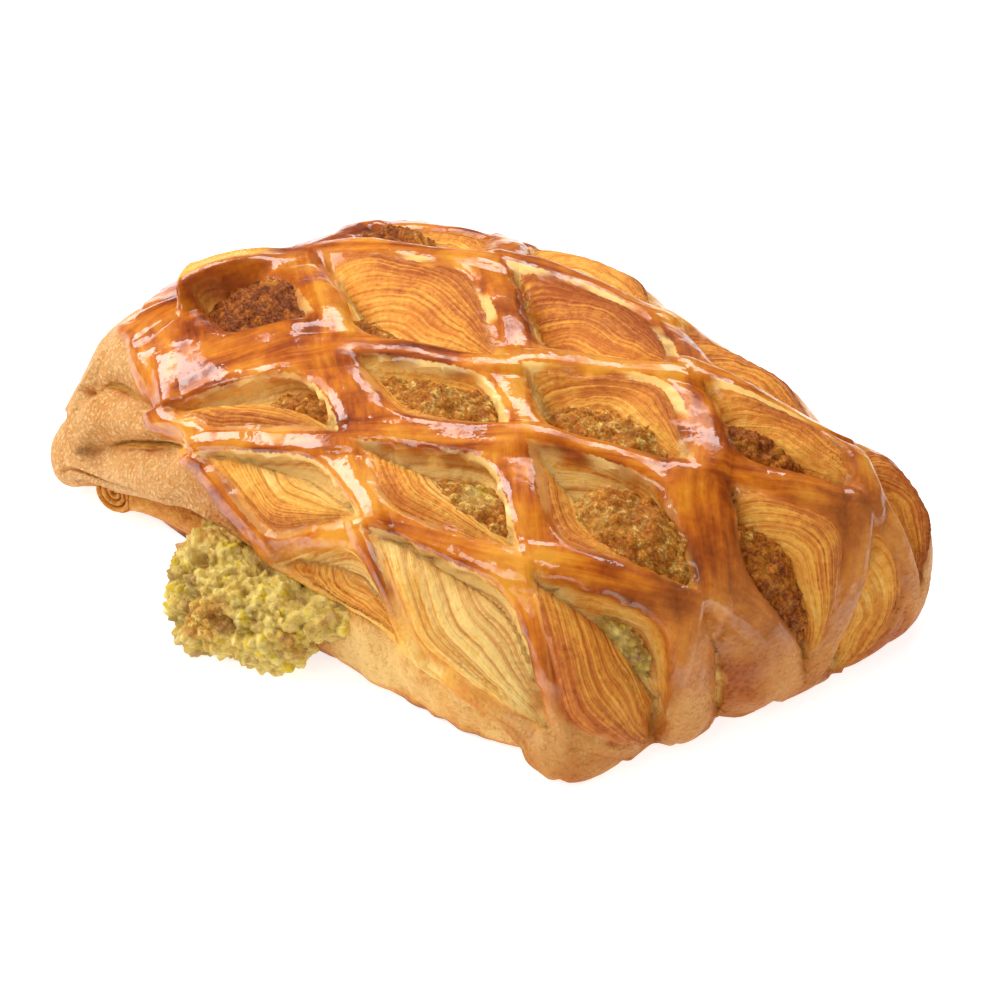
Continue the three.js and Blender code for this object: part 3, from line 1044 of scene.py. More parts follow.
@dataclass(frozen=True)
class DoughFinish:
    """Glazed skin and layered cut faces of the lattice sheet.

    A bump is its height in millimetres and the share of it that is used.
    """

    golden: Colour = srgb("DE9228")
    orange: Colour = srgb("C86C10")
    brown: Colour = srgb("9E4608")
    dark: Colour = srgb("6E2806")
    bare: Colour = srgb("DCAA6C")
    crust: Colour = srgb("D29850")
    rust: Colour = srgb("BC7430")
    speckle: Colour = srgb("F0C88C")
    cream: Colour = srgb("F8D07C")
    pale: Colour = srgb("F0B24C")
    layer_gold: Colour = srgb("DF8E32")
    layer_brown: Colour = srgb("B8662A")
    # Colour of the painted shade in the grooves between the wall layers.
    crevice_shade: Colour = srgb("C06620")
    clouds: Noise = Noise(9.0, 3.0, 0.55)
    grit: Noise = Noise(1.1, 3.0, 0.6)
    freckles: Noise = Noise(2.4, 4.0, 0.65)
    specks: Noise = Noise(0.7, 2.0, 0.5)
    blisters: Noise = Noise(4.2, 3.0, 0.5)
    wet_patches: Noise = Noise(6.5, 4.0, 0.55)
    wet_breaks: Noise = Noise(1.7, 3.0, 0.6)
    cloud_tan: float = 1.2
    grit_tan: float = 0.25
    brush: float = 0.24
    brush_lots: Span = (0.2, 0.7)
    brush_strength: float = 1.2
    brush_middle: float = 0.46
    bubble_size: float = 1.0
    bubble_grit: float = 0.6
    dimple_range: Span = (0.3, 1.0)
    # Share of rust painted as shade into the hollows between the bubbles.
    dimple_shade_share: float = 0.4
    freckle_range: Span = (0.48, 0.68)
    freckle_share: float = 0.45
    speck_range: Span = (0.47, 0.66)
    speck_tan: Fit = (0.3, 0.9, 0.6, 0.2)
    wall_start: Fit = (0.0, 1.0, 0.58, 0.16)
    wall_deep: float = 0.58
    wall_clouds: float = 0.6
    wall_streaks: float = 1.3
    wall_grit: float = 0.6
    groove_streaks: Fit = (0.3, 0.65, 0.85, 0.3)
    hem_share: float = 0.8
    hem_grit: float = 1.0
    hem_place: float = 0.1
    hem_width: Span = (0.85, 0.6)
    hem_dry: float = -0.6
    wet_patch_range: Fit = (0.4, 0.52, 0.25, 1.0)
    wet_break_range: Fit = (0.36, 0.46, 0.3, 1.0)
    blister_bump: Span = (1.5, 0.16)
    grit_bump: Span = (0.5, 0.8)
    plate_bump: Span = (0.5, 0.8)
    pimple_bump: Span = (0.4, 0.7)
    speck_bump: Span = (0.5, 0.5)
    roughness: Fit = (0.0, 1.0, 0.55, 0.4)
    specular: float = 0.2
    coat: float = 0.75
    coat_roughness: float = 0.06
    coat_ior: float = 1.9

    def glazed(self, sh: Shader, tan: Socket) -> Socket:
        """Colour the glazed skin, with brush strokes along the strips.

        Args:
            sh: the material.
            tan: how far the skin is browned.

        Returns:
            The colour.
        """
        side_a, side_b = sh.value("side_a"), sh.value("side_b")
        along_a = sh.streaks(sh.times(side_b, self.brush), side_a, self.brush_lots[0])
        along_b = sh.streaks(sh.times(side_a, self.brush), side_b, self.brush_lots[1])
        stroke = sh.math("MULTIPLY_ADD", sh.value("turn"), sh.math("SUBTRACT", along_a, along_b), along_b)
        brushed = sh.vary(stroke, self.brush_strength, tan, self.brush_middle)
        stops = ((0.05, self.golden), (0.35, self.orange), (0.62, self.brown), (0.9, self.dark))
        return sh.ramp(brushed, stops)

    def matte(self, sh: Shader, tan: Socket, dimple: Socket, speck: Socket) -> Socket:
        """Colour the bare skin of the ends, the foot and the puffed front.

        Args:
            sh: the material.
            tan: how far the skin is browned.
            dimple: small hollows between its bubbles, which are darkened as painted shade.
            speck: pale specks on it.

        Returns:
            The colour.
        """
        stops = ((0.0, self.bare), (0.35, self.crust), (0.75, self.rust), (1.0, self.brown))
        # Painted shade: the hollows between the bubbles are darkened towards rust.
        colour = sh.mix(sh.times(dimple, self.dimple_shade_share), sh.ramp(tan, stops), self.rust)
        freckle = sh.fit(sh.noise(self.freckles), *self.freckle_range)
        colour = sh.mix(sh.times(freckle, self.freckle_share), colour, self.rust)
        colour = sh.mix(speck, colour, self.speckle)
        puffed = sh.ramp(tan, ((0.0, self.cream), (0.35, self.pale), (0.8, self.layer_gold)))
        return sh.mix(sh.value("puff"), colour, puffed)

    def wall(self, sh: Shader, streak: Socket, broad: Socket, fine: Socket) -> Socket:
        """Colour the cut walls, paler towards the deepest line, with painted shade in the grooves between the
        layers.

        Args:
            sh: the material.
            streak: streaks along the layers.
            broad: broad noise.
            fine: fine noise.

        Returns:
            The colour.
        """
        start = sh.fit(sh.value("broad"), *self.wall_start)
        start = sh.math("SUBTRACT", start, sh.value("bake"))
        paint = sh.math("MULTIPLY_ADD", sh.value("deep"), self.wall_deep, start)
        paint = sh.vary(broad, self.wall_clouds, paint)
        paint = sh.vary(streak, self.wall_streaks, paint)
        paint = sh.vary(fine, self.wall_grit, paint)
        stops = (
            (0.0, self.brown),
            (0.2, self.layer_brown),
            (0.42, self.layer_gold),
            (0.68, self.pale),
            (0.95, self.cream),
        )
        # Painted shade: the grooves between the layers are darkened towards the crevice colour.
        shadow = sh.times(sh.value("groove"), sh.fit(streak, *self.groove_streaks))
        return sh.mix(shadow, sh.ramp(paint, stops), self.crevice_shade)

    def wetness(self, sh: Shader, hem: Socket) -> Socket:
        """Break up the glaze's wet shine.

        Args:
            sh: the material.
            hem: the pale hem along the cuts, which is drier.

        Returns:
            Share of the shine.
        """
        patches = sh.fit(sh.noise(self.wet_patches), *self.wet_patch_range)
        wet = sh.times(patches, sh.fit(sh.noise(self.wet_breaks), *self.wet_break_range))
        return sh.times(wet, sh.math("MULTIPLY_ADD", hem, self.hem_dry, 1.0))

    def make(self) -> bpy.types.Material:
        """Build the material.

        Returns:
            The material of the lattice sheet.
        """
        sh = Shader("laminated_dough")
        skin, glaze = sh.value("skin"), sh.value("glaze")
        broad, fine = sh.noise(self.clouds), sh.noise(self.grit)
        tan = sh.vary(fine, self.grit_tan, sh.vary(broad, self.cloud_tan, sh.value("toast")))
        bubble = sh.math("MULTIPLY_ADD", fine, self.bubble_grit, sh.bubbles(self.bubble_size))
        dimple = sh.fit(bubble, *self.dimple_range)
        blistered = sh.times(sh.value("blistered"), sh.fit(tan, *self.speck_tan))
        speck = sh.times(sh.fit(sh.noise(self.specks), *self.speck_range), blistered)
        streak = sh.streaks(sh.value("layer"), sh.value("run"), sh.value("lot"))
        skin_colour = sh.mix(glaze, self.matte(sh, tan, dimple, speck), self.glazed(sh, tan))
        colour = sh.mix(skin, self.wall(sh, streak, broad, fine), skin_colour)
        off_hem = sh.math("SUBTRACT", sh.vary(fine, self.hem_grit, sh.value("edge")), self.hem_place)
        hem = sh.times(sh.fit(sh.math("ABSOLUTE", off_hem), *self.hem_width), sh.value("hem"))
        colour = sh.mix(sh.times(hem, self.hem_share), colour, self.cream)
        blister = sh.bump(sh.noise(self.blisters), *self.blister_bump)
        plate = sh.bump(streak, *self.plate_bump, sh.bump(fine, *self.grit_bump))
        dry = sh.rest(glaze)
        crumbly = sh.bump(sh.rest(sh.times(dimple, dry)), *self.pimple_bump, blister)
        crumbly = sh.bump(sh.times(speck, dry), *self.speck_bump, crumbly)
        shine = sh.times(skin, glaze)
        sh.set(
            Base_Color=colour,
            Roughness=sh.fit(shine, *self.roughness),
            Specular_IOR_Level=self.specular,
            Normal=sh.mix(skin, plate, crumbly, MixKind.DIRECTION),
            Coat_Weight=sh.times(shine, sh.times(self.wetness(sh, hem), self.coat)),
            Coat_Roughness=self.coat_roughness,
            Coat_IOR=self.coat_ior,
            Coat_Normal=blister,
        )
        return sh.material


@dataclass(frozen=True)
class FillingFinish:
    """Crumbly pistachio paste, green inside and browned where it was baked, with painted shade between its
    crumbs.
    """

    name: str
    nutty: Colour = srgb("CCA272")
    olive: Colour = srgb("CEAC56")
    green: Colour = srgb("E8C45C")
    yellow: Colour = srgb("F4DC84")
    bright: Colour = srgb("E6C63C")
    amber: Colour = srgb("D8902C")
    toasted: Colour = srgb("AE5A12")
    burnt_and_gap_shade: Colour = srgb("642A06")
    grit: Noise = Noise(0.6, 3.0, 0.68)
    grit_shade: float = 1.6
    grit_bump: Span = (0.6, 0.9)
    crumb_shade: Span = (0.5, 0.25)
    toast_shade: Fit = (0.8, 1.5, -0.2, 0.24)
    toast_range: Span = (0.0, 0.8)
    # Share of the burnt colour painted as shade into the gaps between crumbs.
    gap_shade_share: float = 0.5
    roughness: float = 0.28
    specular: float = 0.22

    def make(self) -> bpy.types.Material:
        """Build the material.

        Returns:
            The material of the filling.
        """
        sh = Shader(self.name)
        crumb, toast = sh.value("crumb"), sh.value("toast")
        fine = sh.noise(self.grit)
        fresh_stops = (
            (0.0, self.nutty),
            (0.22, self.olive),
            (0.42, self.green),
            (0.62, self.yellow),
            (0.8, self.bright),
        )
        shade = sh.vary(fine, self.grit_shade, sh.math("MULTIPLY_ADD", crumb, *self.crumb_shade))
        shade = sh.math("SUBTRACT", shade, sh.fit(toast, *self.toast_shade))
        baked_stops = ((0.12, self.burnt_and_gap_shade), (0.4, self.toasted), (0.82, self.amber), (1.0, self.yellow))
        baked = sh.ramp(shade, baked_stops)
        colour = sh.mix(sh.fit(toast, *self.toast_range), sh.ramp(crumb, fresh_stops), baked)
        # Painted shade: the gaps between the crumbs are darkened towards the burnt colour.
        sh.set(
            Base_Color=sh.mix(sh.times(sh.value("gap_shade"), self.gap_shade_share), colour, self.burnt_and_gap_shade),
            Roughness=self.roughness,
            Specular_IOR_Level=self.specular,
            Normal=sh.bump(fine, *self.grit_bump),
        )
        return sh.material


@dataclass(frozen=True)
class BaseFinish:
    """Matte baked dough of the base sheet with its layered cut edge."""

    pale: Colour = srgb("F2C476")
    golden: Colour = srgb("DB9236")
    brown: Colour = srgb("B06020")
    dark: Colour = srgb("6E3A16")
    clouds: Noise = Noise(7.0, 3.0, 0.55)
    knobs: Noise = Noise(2.6, 3.0, 0.6)
    specks: Noise = Noise(0.9, 3.0, 0.65)
    tan_shares: tuple[float, ...] = (0.7, 0.3, 0.6, 0.6)
    streak_lot: float = 0.4
    streak_bump: Span = (0.2, 0.5)
    speck_bump: Span = (0.8, 0.9)
    knob_bump: Span = (0.8, 1.2)
    roughness: float = 0.6
    specular: float = 0.25

    def make(self) -> bpy.types.Material:
        """Build the material.

        Returns:
            The material of the base.
        """
        sh = Shader("base_dough")
        streak = sh.streaks(sh.value("layer"), sh.value("run"), self.streak_lot)
        broad, knobs, speck = (sh.noise(kind) for kind in (self.clouds, self.knobs, self.specks))
        tan = sh.value("toast")
        for noise, share in zip((broad, streak, knobs, speck), self.tan_shares):
            tan = sh.vary(noise, share, tan)
        stops = ((0.0, self.pale), (0.4, self.golden), (0.75, self.brown), (1.0, self.dark))
        normal = sh.bump(speck, *self.speck_bump, sh.bump(knobs, *self.knob_bump))
        sh.set(
            Base_Color=sh.ramp(tan, stops),
            Roughness=self.roughness,
            Specular_IOR_Level=self.specular,
            Normal=sh.bump(streak, *self.streak_bump, normal),
        )
        return sh.material


@dataclass
class SubAssembly:
    """Pieces that stand for one solid of the model."""

    node: ClassVar[str]
    slot: ClassVar[Slot]
    maker: MeshMaker

    def dress(self, piece: bpy.types.Object, material: bpy.types.Material) -> None:
        """Give a piece its finish and its place in the model.

        Args:
            piece: the new piece.
            material: its material.
        """
        piece.data.materials.append(material)
        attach(piece, "root")
        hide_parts(self.node)
        LOG.info("%s: %d faces", piece.name, len(piece.data.polygons))


@dataclass(frozen=True)
class StripShape:
    """How the strips swell, cross and end.

    Heights and widths are in millimetres and places in cells. The pairs for an opening are for the edge of
    a steep wall and of a broad one.
    """

    width_wave: Wave = Wave(0.55, 11.0, 5)
    blister: Wave = Wave(0.38, 7.0, 31)
    pimple: Wave = Wave(0.06, 2.6, 33, 2)
    opening_crown: Span = (1.5, 0.7)
    opening_rounding: Span = (2.4, 1.8)
    pillow_crown: float = 3.2
    pillow_rounding: float = 8.0
    glaze_end: Span = (-1.78, -1.62)
    glaze_wave: Wave = Wave(0.12, 8.0, 52, 2)
    ledge: float = 0.9
    ledge_fade: Span = (-1.5, -0.9)
    edge_fade: Span = (-1.0, 0.0)
    overlap: float = 0.55
    overlap_seed: int = 19
    overlap_edge: Span = (0.75, 1.0)
    overlap_rise: float = 8.0
    overlap_dip: float = 7.0
    crease: float = 0.7
    flake_rise: float = 5.0
    flake_start: Span = (-1.27, -1.22)
    flake_end: Span = (-1.1, -0.5)
    flake_place: float = -1.53
    flake_side: Span = (0.14, 0.2)

    def glazed(self, sheet: SheetPoints) -> Array:
        """Share of the glaze, which ends in a wavy line at the left end."""
        return smooth(*self.glaze_end, sheet.a + self.glaze_wave.at(sheet.point))

    def flake(self, sheet: SheetPoints) -> Array:
        """Share of the strip end that stands off over the first opening."""
        along = smooth(*self.flake_start, sheet.a) * (1.0 - smooth(*self.flake_end, sheet.a))
        return along * (1.0 - smooth(*self.flake_side, np.abs(sheet.b - self.flake_place)))

    def crossing(self, sheet: SheetPoints, pitch: float) -> tuple[Array, Array]:
        """Let one strip lie over the other at each crossing.

        Args:
            sheet: points of the sheet.
            pitch: distance between strips in millimetres.

        Returns:
            How far the upper strip rises and the lower one dips, and the crease beside it, darkened as
            painted shade.
        """
        a, b, half = sheet.a, sheet.b, sheet.half
        node_a, node_b = np.floor(a) + 0.5, np.floor(b) + 0.5
        off_a, off_b = np.abs(a - node_a) * pitch, np.abs(b - node_b) * pitch
        node = np.stack([node_a * 2, node_b * 2, np.ones_like(a)], axis=-1)
        first = Grain.draw(node, self.overlap_seed) > 0.5
        over, under = np.where(first, off_a, off_b), np.where(first, off_b, off_a)
        step = 1.0 - smooth(*self.overlap_edge, over / half)
        along = np.exp(-((under / self.overlap_rise) ** 2))
        within = np.exp(-((under / half) ** 4))
        near = np.exp(-((over / self.overlap_dip) ** 2)) * within
        crease = np.exp(-(((over - half) / self.crease) ** 2)) * within
        return self.overlap * step * along - self.overlap * (1.0 - step) * near, crease

    def crown(self, opening: Opening) -> Array:
        """Depth of a strip's rounded edge beside each opening."""
        crown = lerp(lerp(*self.opening_crown, opening.broad), self.pillow_crown, opening.cell["pillow"])
        return crown * opening.cut

    def sink(self, sheet: SheetPoints, fold: Array) -> Array:
        """Work out how far the skin lies below the smooth form.

        Args:
            sheet: points of the sheet.
            fold: rise and dip at the crossings.

        Returns:
            Depths in millimetres, without the walls of the openings.
        """
        opening = sheet.opening
        pillow = opening.cell["pillow"]
        reach = lerp(lerp(*self.opening_rounding, opening.broad), self.pillow_rounding, pillow)
        sink = self.crown(opening) * (1.0 - np.clip(opening.outside / reach, 0.0, 1.0)) ** 2.0
        sink = sink - (self.blister.at(sheet.point) + self.pimple.at(sheet.point))
        glazed = self.glazed(sheet)
        ledge = self.ledge * glazed * (1.0 - smooth(*self.ledge_fade, sheet.a))
        sink = sink - (fold * glazed + ledge) * smooth(*self.edge_fade, opening.outside)
        return sink - self.flake_rise * self.flake(sheet)


@dataclass(frozen=True)
class WallShape:
    """How the cut walls fall and how their layers stand out, in millimetres.

    Each pair is for a steep wall and for a broad one.
    """

    powers: Span = (2.4, 1.9)
    bulge_power: float = 0.8
    lip: float = 0.5
    step: Span = (0.7, 0.35)
    undercut: float = 1.8
    layers: Span = (5.0, 15.0)
    layer_wave: Wave = Wave(0.5, 14.0, 41)
    layer_ripple: Wave = Wave(0.12, 2.6, 42)
    streak: Wave = Wave(1.0, 1.0, 43, 2)
    streak_run: float = 24.0
    streak_layer: float = 1.1
    streak_lot: float = 40.0
    streak_swing: float = 0.5
    plate: float = 0.42
    plate_middle: float = 0.4
    plate_wave: Wave = Wave(0.14, 1.6, 47, 2)
    plate_lean: float = 0.6
    plate_side: float = 0.7
    # Ridge heights that mark the grooves, which the finish darkens as painted shade.
    groove: Span = (0.75, 0.05)

    def fall(self, opening: Opening) -> Array:
        """Share of the opening's depth that the wall has reached."""
        steep, broad = self.powers
        return lerp(1.0 - (1.0 - opening.ratio) ** steep, opening.ratio**broad, opening.broad)

    def inside(self, opening: Opening) -> Array:
        """Share from 0 at the edge of an opening to 1 just within it."""
        return np.clip(-opening.outside / self.lip, 0.0, 1.0)

    def ledge(self, opening: Opening) -> Array:
        """Step down at the edge of a wall, less the bulge of its belly."""
        bulge = opening.broad * np.sin(np.pi * opening.ratio**self.bulge_power) * opening.tip
        return lerp(*self.step, opening.broad) * self.inside(opening) - opening.cell["bulge"] * bulge

    def phase(self, sheet: SheetPoints) -> Array:
        """Count the layers of dough from the edge of the opening."""
        count = sheet.opening.fan * lerp(*self.layers, sheet.opening.broad)
        return count + self.layer_wave.at(sheet.point) + self.layer_ripple.at(sheet.point)

    def ridges(self, opening: Opening, phase: Array) -> Array:
        """Work out the ridges of the layers.

        Args:
            opening: places in the openings.
            phase: number of the layer at each point.

        Returns:
            Heights of about 0 between the layers to 1 on them.
        """
        run, lot = opening.run / self.streak_run, opening.cell["lot"] * self.streak_lot
        streak = self.streak.at(np.stack([run, phase * self.streak_layer, lot], axis=1))
        return 1.0 - np.abs(streak + self.streak_swing * np.sin(np.pi * phase))

    def plates(self, sheet: SheetPoints, ridges: Array) -> Array:
        """Heights of the flaky plates on the walls, in millimetres."""
        height = self.plate * (ridges - self.plate_middle) + self.plate_wave.at(sheet.point)
        return sheet.opening.cut * self.inside(sheet.opening) * height * sheet.fade


@dataclass(frozen=True)
class SkinTone:
    """Where the sheet is skin or cut, glazed, puffed and toasted, with painted shade in the creases at the
    crossings.

    Heights are in millimetres and places in cells. The pairs soft and ragged are for the edge of a steep
    wall and of a broad one.
    """

    soft: Span = (0.25, 0.9)
    soft_shift: float = 0.3
    ragged: Span = (0.15, 1.1)
    ragged_wave: Wave = Wave(1.0, 3.6, 45, 2)
    puff_top: Span = (19.0, 27.0)
    flake_share: Span = (0.1, 0.5)
    flake_edge: Span = (-1.42, -1.46)
    flake_wave: Wave = Wave(0.02, 3.0, 54, 2)
    glaze_foot: Span = (9.0, 21.0)
    glaze_wave: Wave = Wave(3.0, 9.0, 51, 2)
    glaze_right: Span = (1.1, 1.8)
    glaze_loss: float = 0.5
    toast: float = 0.3
    toast_wave: Wave = Wave(0.3, 11.0, 53, 2)
    # How much darker the strips are along a steep edge.
    lip_darkening: float = 0.2
    lip_width: Span = (0.0, 2.2)
    # Strength of the painted shade in the creases beside the upper strips.
    crease_shade: float = 0.12
    toast_right: float = 0.42
    right_end: Span = (1.1, 2.1)
    toast_left: float = 0.14
    left_end: Span = (-1.4, -0.2)
    lower_hem: float = 0.3
    hem_wave: Wave = Wave(1.0, 6.0, 56, 2)
    hem_gaps: Span = (-0.5, 0.3)
    hem_left: Span = (-1.0, -0.6)
    hem_right: Span = (0.7, 1.3)
    smooth_skin: float = 0.85
    blister_fade: Span = (-0.9, 0.2)
    edge_limit: float = 3.0

    def skin(self, sheet: SheetPoints) -> Array:
        """Share of skin against cut dough.

        Args:
            sheet: points of the sheet.

        Returns:
            1 on skin, 0 on cut walls.
        """
        opening = sheet.opening
        soft = lerp(*self.soft, opening.broad)
        ragged = opening.outside + lerp(*self.ragged, opening.broad) * self.ragged_wave.at(sheet.point)
        share = np.clip(0.5 + (ragged + self.soft_shift * soft) / (2 * soft), 0.0, 1.0)
        return np.maximum(np.where(opening.cut > 0, share, 1.0), 1.0 - sheet.fade)

    def puff(self, sheet: SheetPoints, form: PastryForm, flake: Array) -> Array:
        """Share of pale, puffed dough at the front and under the raised strip end.

        Args:
            sheet: points of the sheet.
            form: the outer form.
            flake: share of the raised strip end.

        Returns:
            Shares from 0 to 1.
        """
        x, y, z = sheet.point.T
        front = form.puff(x, y) * (1.0 - smooth(*self.puff_top, z))
        under = smooth(*self.flake_edge, sheet.b + self.flake_wave.at(sheet.point))
        return np.maximum(front, smooth(*self.flake_share, flake) * under)

    def hem(self, sheet: SheetPoints, along: Array) -> Array:
        """Share of the pale hem along the cuts.

        Args:
            sheet: points of the sheet.
            along: places along the lattice.

        Returns:
            Shares from 0 to 1.
        """
        opening = sheet.opening
        hem = np.where(opening.upper, 1.0, self.lower_hem) * opening.cut * sheet.fade
        hem = hem * smooth(*self.hem_gaps, self.hem_wave.at(sheet.point))
        return hem * (1.0 - smooth(*self.hem_right, along)) * smooth(*self.hem_left, along)

    def values(
        self, sheet: SheetPoints, height: Array, glazed: Array, crease: Array, puff: Array
    ) -> dict[str, Array]:
        """Work out the named values that colour the skin.

        Args:
            sheet: points of the sheet.
            height: heights of the finished surface in millimetres.
            glazed: share of the glaze, which ends at the left end.
            crease: creases beside the upper strips, which are darkened as painted shade.
            puff: share of pale, puffed dough.

        Returns:
            The values by name.
        """
        opening = sheet.opening
        along = (sheet.a + sheet.b) / 2
        glaze = smooth(*self.glaze_foot, height + self.glaze_wave.at(sheet.point))
        glaze = glaze * glazed * (1.0 - puff) * (1.0 - self.glaze_loss * smooth(*self.glaze_right, along))
        # The strips are darker within the lip width of a steep edge.
        lip = (1.0 - smooth(*self.lip_width, opening.outside)) * (1.0 - opening.broad)
        toast = self.toast + self.lip_darkening * lip + self.toast_wave.at(sheet.point)
        # Painted shade: the creases beside the upper strips are darkened.
        toast = toast + self.crease_shade * crease * glazed
        toast = toast + self.toast_right * smooth(*self.right_end, along)
        toast = toast + self.toast_left * (1.0 - smooth(*self.left_end, along)) * glaze
        return {
            "skin": self.skin(sheet),
            "glaze": glaze,
            "toast": toast,
            "puff": puff,
            "hem": self.hem(sheet, along),
            "blistered": 1.0 - self.smooth_skin * smooth(*self.blister_fade, along),
            "edge": np.clip(opening.outside, -self.edge_limit, self.edge_limit),
        }


@dataclass
class LatticeSheet(SubAssembly):
    """The domed top sheet: glazed strips and the layered walls of its openings."""

    node: ClassVar[str] = "lattice_sheet"
    slot: ClassVar[Slot] = Slot.CRUST
    lattice: Lattice
    strips: StripShape = StripShape()
    walls: WallShape = WallShape()
    tone: SkinTone = SkinTone()
    low_a: float = -4.5
    low_b: float = -5.5
    cells: int = 10
    skin_step: float = 0.8
    skin_margin: float = 0.3
    wall_step: float = 0.44
    rim: float = 1.4
    skirt: float = 1.04
    foot_fade: Span = (1.15, 1.4)
    probe: float = 0.02

    def lines(self) -> Array:
        """Space the grid lines over one cell, from strip to strip.

        Returns:
            Places of the lines as shares of the pitch.
        """
        pitch = self.lattice.pitch
        half = self.lattice.strip_half + self.skin_margin
        skin_lines = max(int(half / self.skin_step), 2) + 1
        skin = np.linspace(0.0, half, skin_lines)
        wall = np.linspace(half, pitch - half, int((pitch - 2 * half) / self.wall_step) + 1)
        back = np.linspace(pitch - half, pitch, skin_lines)
        return np.concatenate([skin[:-1], wall[:-1], back[:-1]]) / pitch

    def relief(self, a: Array, b: Array) -> Relief:
        """Work out the surface of the sheet.

        Args:
            a: lattice coordinates of one strip family.
            b: lattice coordinates of the other.

        Returns:
            The surface at each point.
        """
        lat, form, walls = self.lattice, self.lattice.form, self.walls
        s, t = lat.to_sheet(a, b)
        point = form.point(s, t)
        up_wall = unit(form.point(*lat.to_sheet(a + self.probe, b - self.probe)) - point)
        fade = 1.0 - smooth(*self.foot_fade, form.radius(s, t))
        half = lat.strip_half + self.strips.width_wave.at(point)
        opening = lat.opening(a, b, half)
        sheet = SheetPoints(a, b, point, half, opening, fade)
        fold, crease = self.strips.crossing(sheet, lat.pitch)
        fall = walls.fall(opening)
        depth = (opening.cell["depth"] - self.strips.crown(opening)) * fall * opening.tip
        drop = (self.strips.sink(sheet, fold) + opening.cut * walls.ledge(opening) + depth) * fade
        phase = walls.phase(sheet)
        ridges = walls.ridges(opening, phase)
        plates = walls.plates(sheet, ridges)
        steep = 1.0 - opening.broad
        undercut = walls.undercut * steep * np.sin(np.pi * fall) * opening.cut * fade * opening.tip
        sideways = np.where(opening.upper, 1.0, -1.0) * (undercut - walls.plate_side * steep * plates)
        position = point - form.normal(s, t) * (drop - (1.0 - walls.plate_lean * steep) * plates)[:, None]
        position = position + up_wall * sideways[:, None]
        puff = self.tone.puff(sheet, form, self.strips.flake(sheet))
        values = self.tone.values(sheet, position[:, 2], self.strips.glazed(sheet), crease, puff)
        values |= {
            "layer": phase,
            "run": opening.run,
            "lot": opening.cell["lot"],
            "deep": opening.ratio,
            "broad": opening.broad,
            "bake": opening.cell["bake"],
            # The groove value marks where the wall colour is darkened as painted shade.
            "groove": smooth(*walls.groove, ridges),
            "side_a": a * lat.pitch,
            "side_b": b * lat.pitch,
            "turn": opening.turn,
        }
        position[:, 2] = np.maximum(position[:, 2], GROUND)
        return Relief(position, values)

    def part_of(self, whole: bpy.types.Mesh, chosen: Array) -> tuple[bmesh.types.BMesh, Array]:
        """Take some of the faces of the whole sheet.

        Args:
            whole: the mesh of the whole sheet.
            chosen: which of its faces are taken.

        Returns:
            The part and the numbers of its vertices in the whole.
        """
        part = bmesh.new()
        part.from_mesh(whole)
        layer = self.maker.number(part)
        faces = [face for face, stays in zip(part.faces, chosen) if not stays]
        bmesh.ops.delete(part, geom=faces, context="FACES")
        return part, self.maker.numbers_left(part, layer)

    def build(self, material: bpy.types.Material) -> None:
        """Make the strips, the skirt below the belly and the walls of the openings, which meet edge to edge.

        Args:
            material: the material of the dough.
        """
        cell = self.lines()
        steps = len(cell) * self.cells
        lines = (np.arange(self.cells)[:, None] + cell[None, :]).ravel()
        lines = np.append(lines, float(self.cells))
        bm = self.maker.grid(steps, steps)
        flat = self.maker.coordinates(bm)
        b = lines[np.rint(flat[:, 0] * steps).astype(int)] + self.low_b
        a = lines[np.rint(flat[:, 1] * steps).astype(int)] + self.low_a
        r = self.lattice.form.radius(*self.lattice.to_sheet(a, b))
        keep = r < self.rim
        self.maker.crop(bm, keep)
        relief = self.relief(a[keep], b[keep])
        whole = bpy.data.meshes.new("whole")
        bm.to_mesh(whole)
        bm.free()
        corners = np.empty(len(whole.loops), dtype=int)
        whole.loops.foreach_get("vertex_index", corners)
        corners = corners.reshape(-1, 4)
        cut_face = relief.values["skin"][corners].mean(axis=1) <= 0.5
        low_face = r[keep][corners].mean(axis=1) > self.skirt
        parts = {
            "lattice_strips": ~cut_face & ~low_face,
            "lattice_skirt": ~cut_face & low_face,
            "lattice_walls": cut_face,
        }
        for name, chosen in parts.items():
            part, rows = self.part_of(whole, chosen)
            values = {key: value[rows] for key, value in relief.values.items()}
            self.dress(self.maker.finish(name, part, relief.position[rows], values), material)
        bpy.data.meshes.remove(whole)


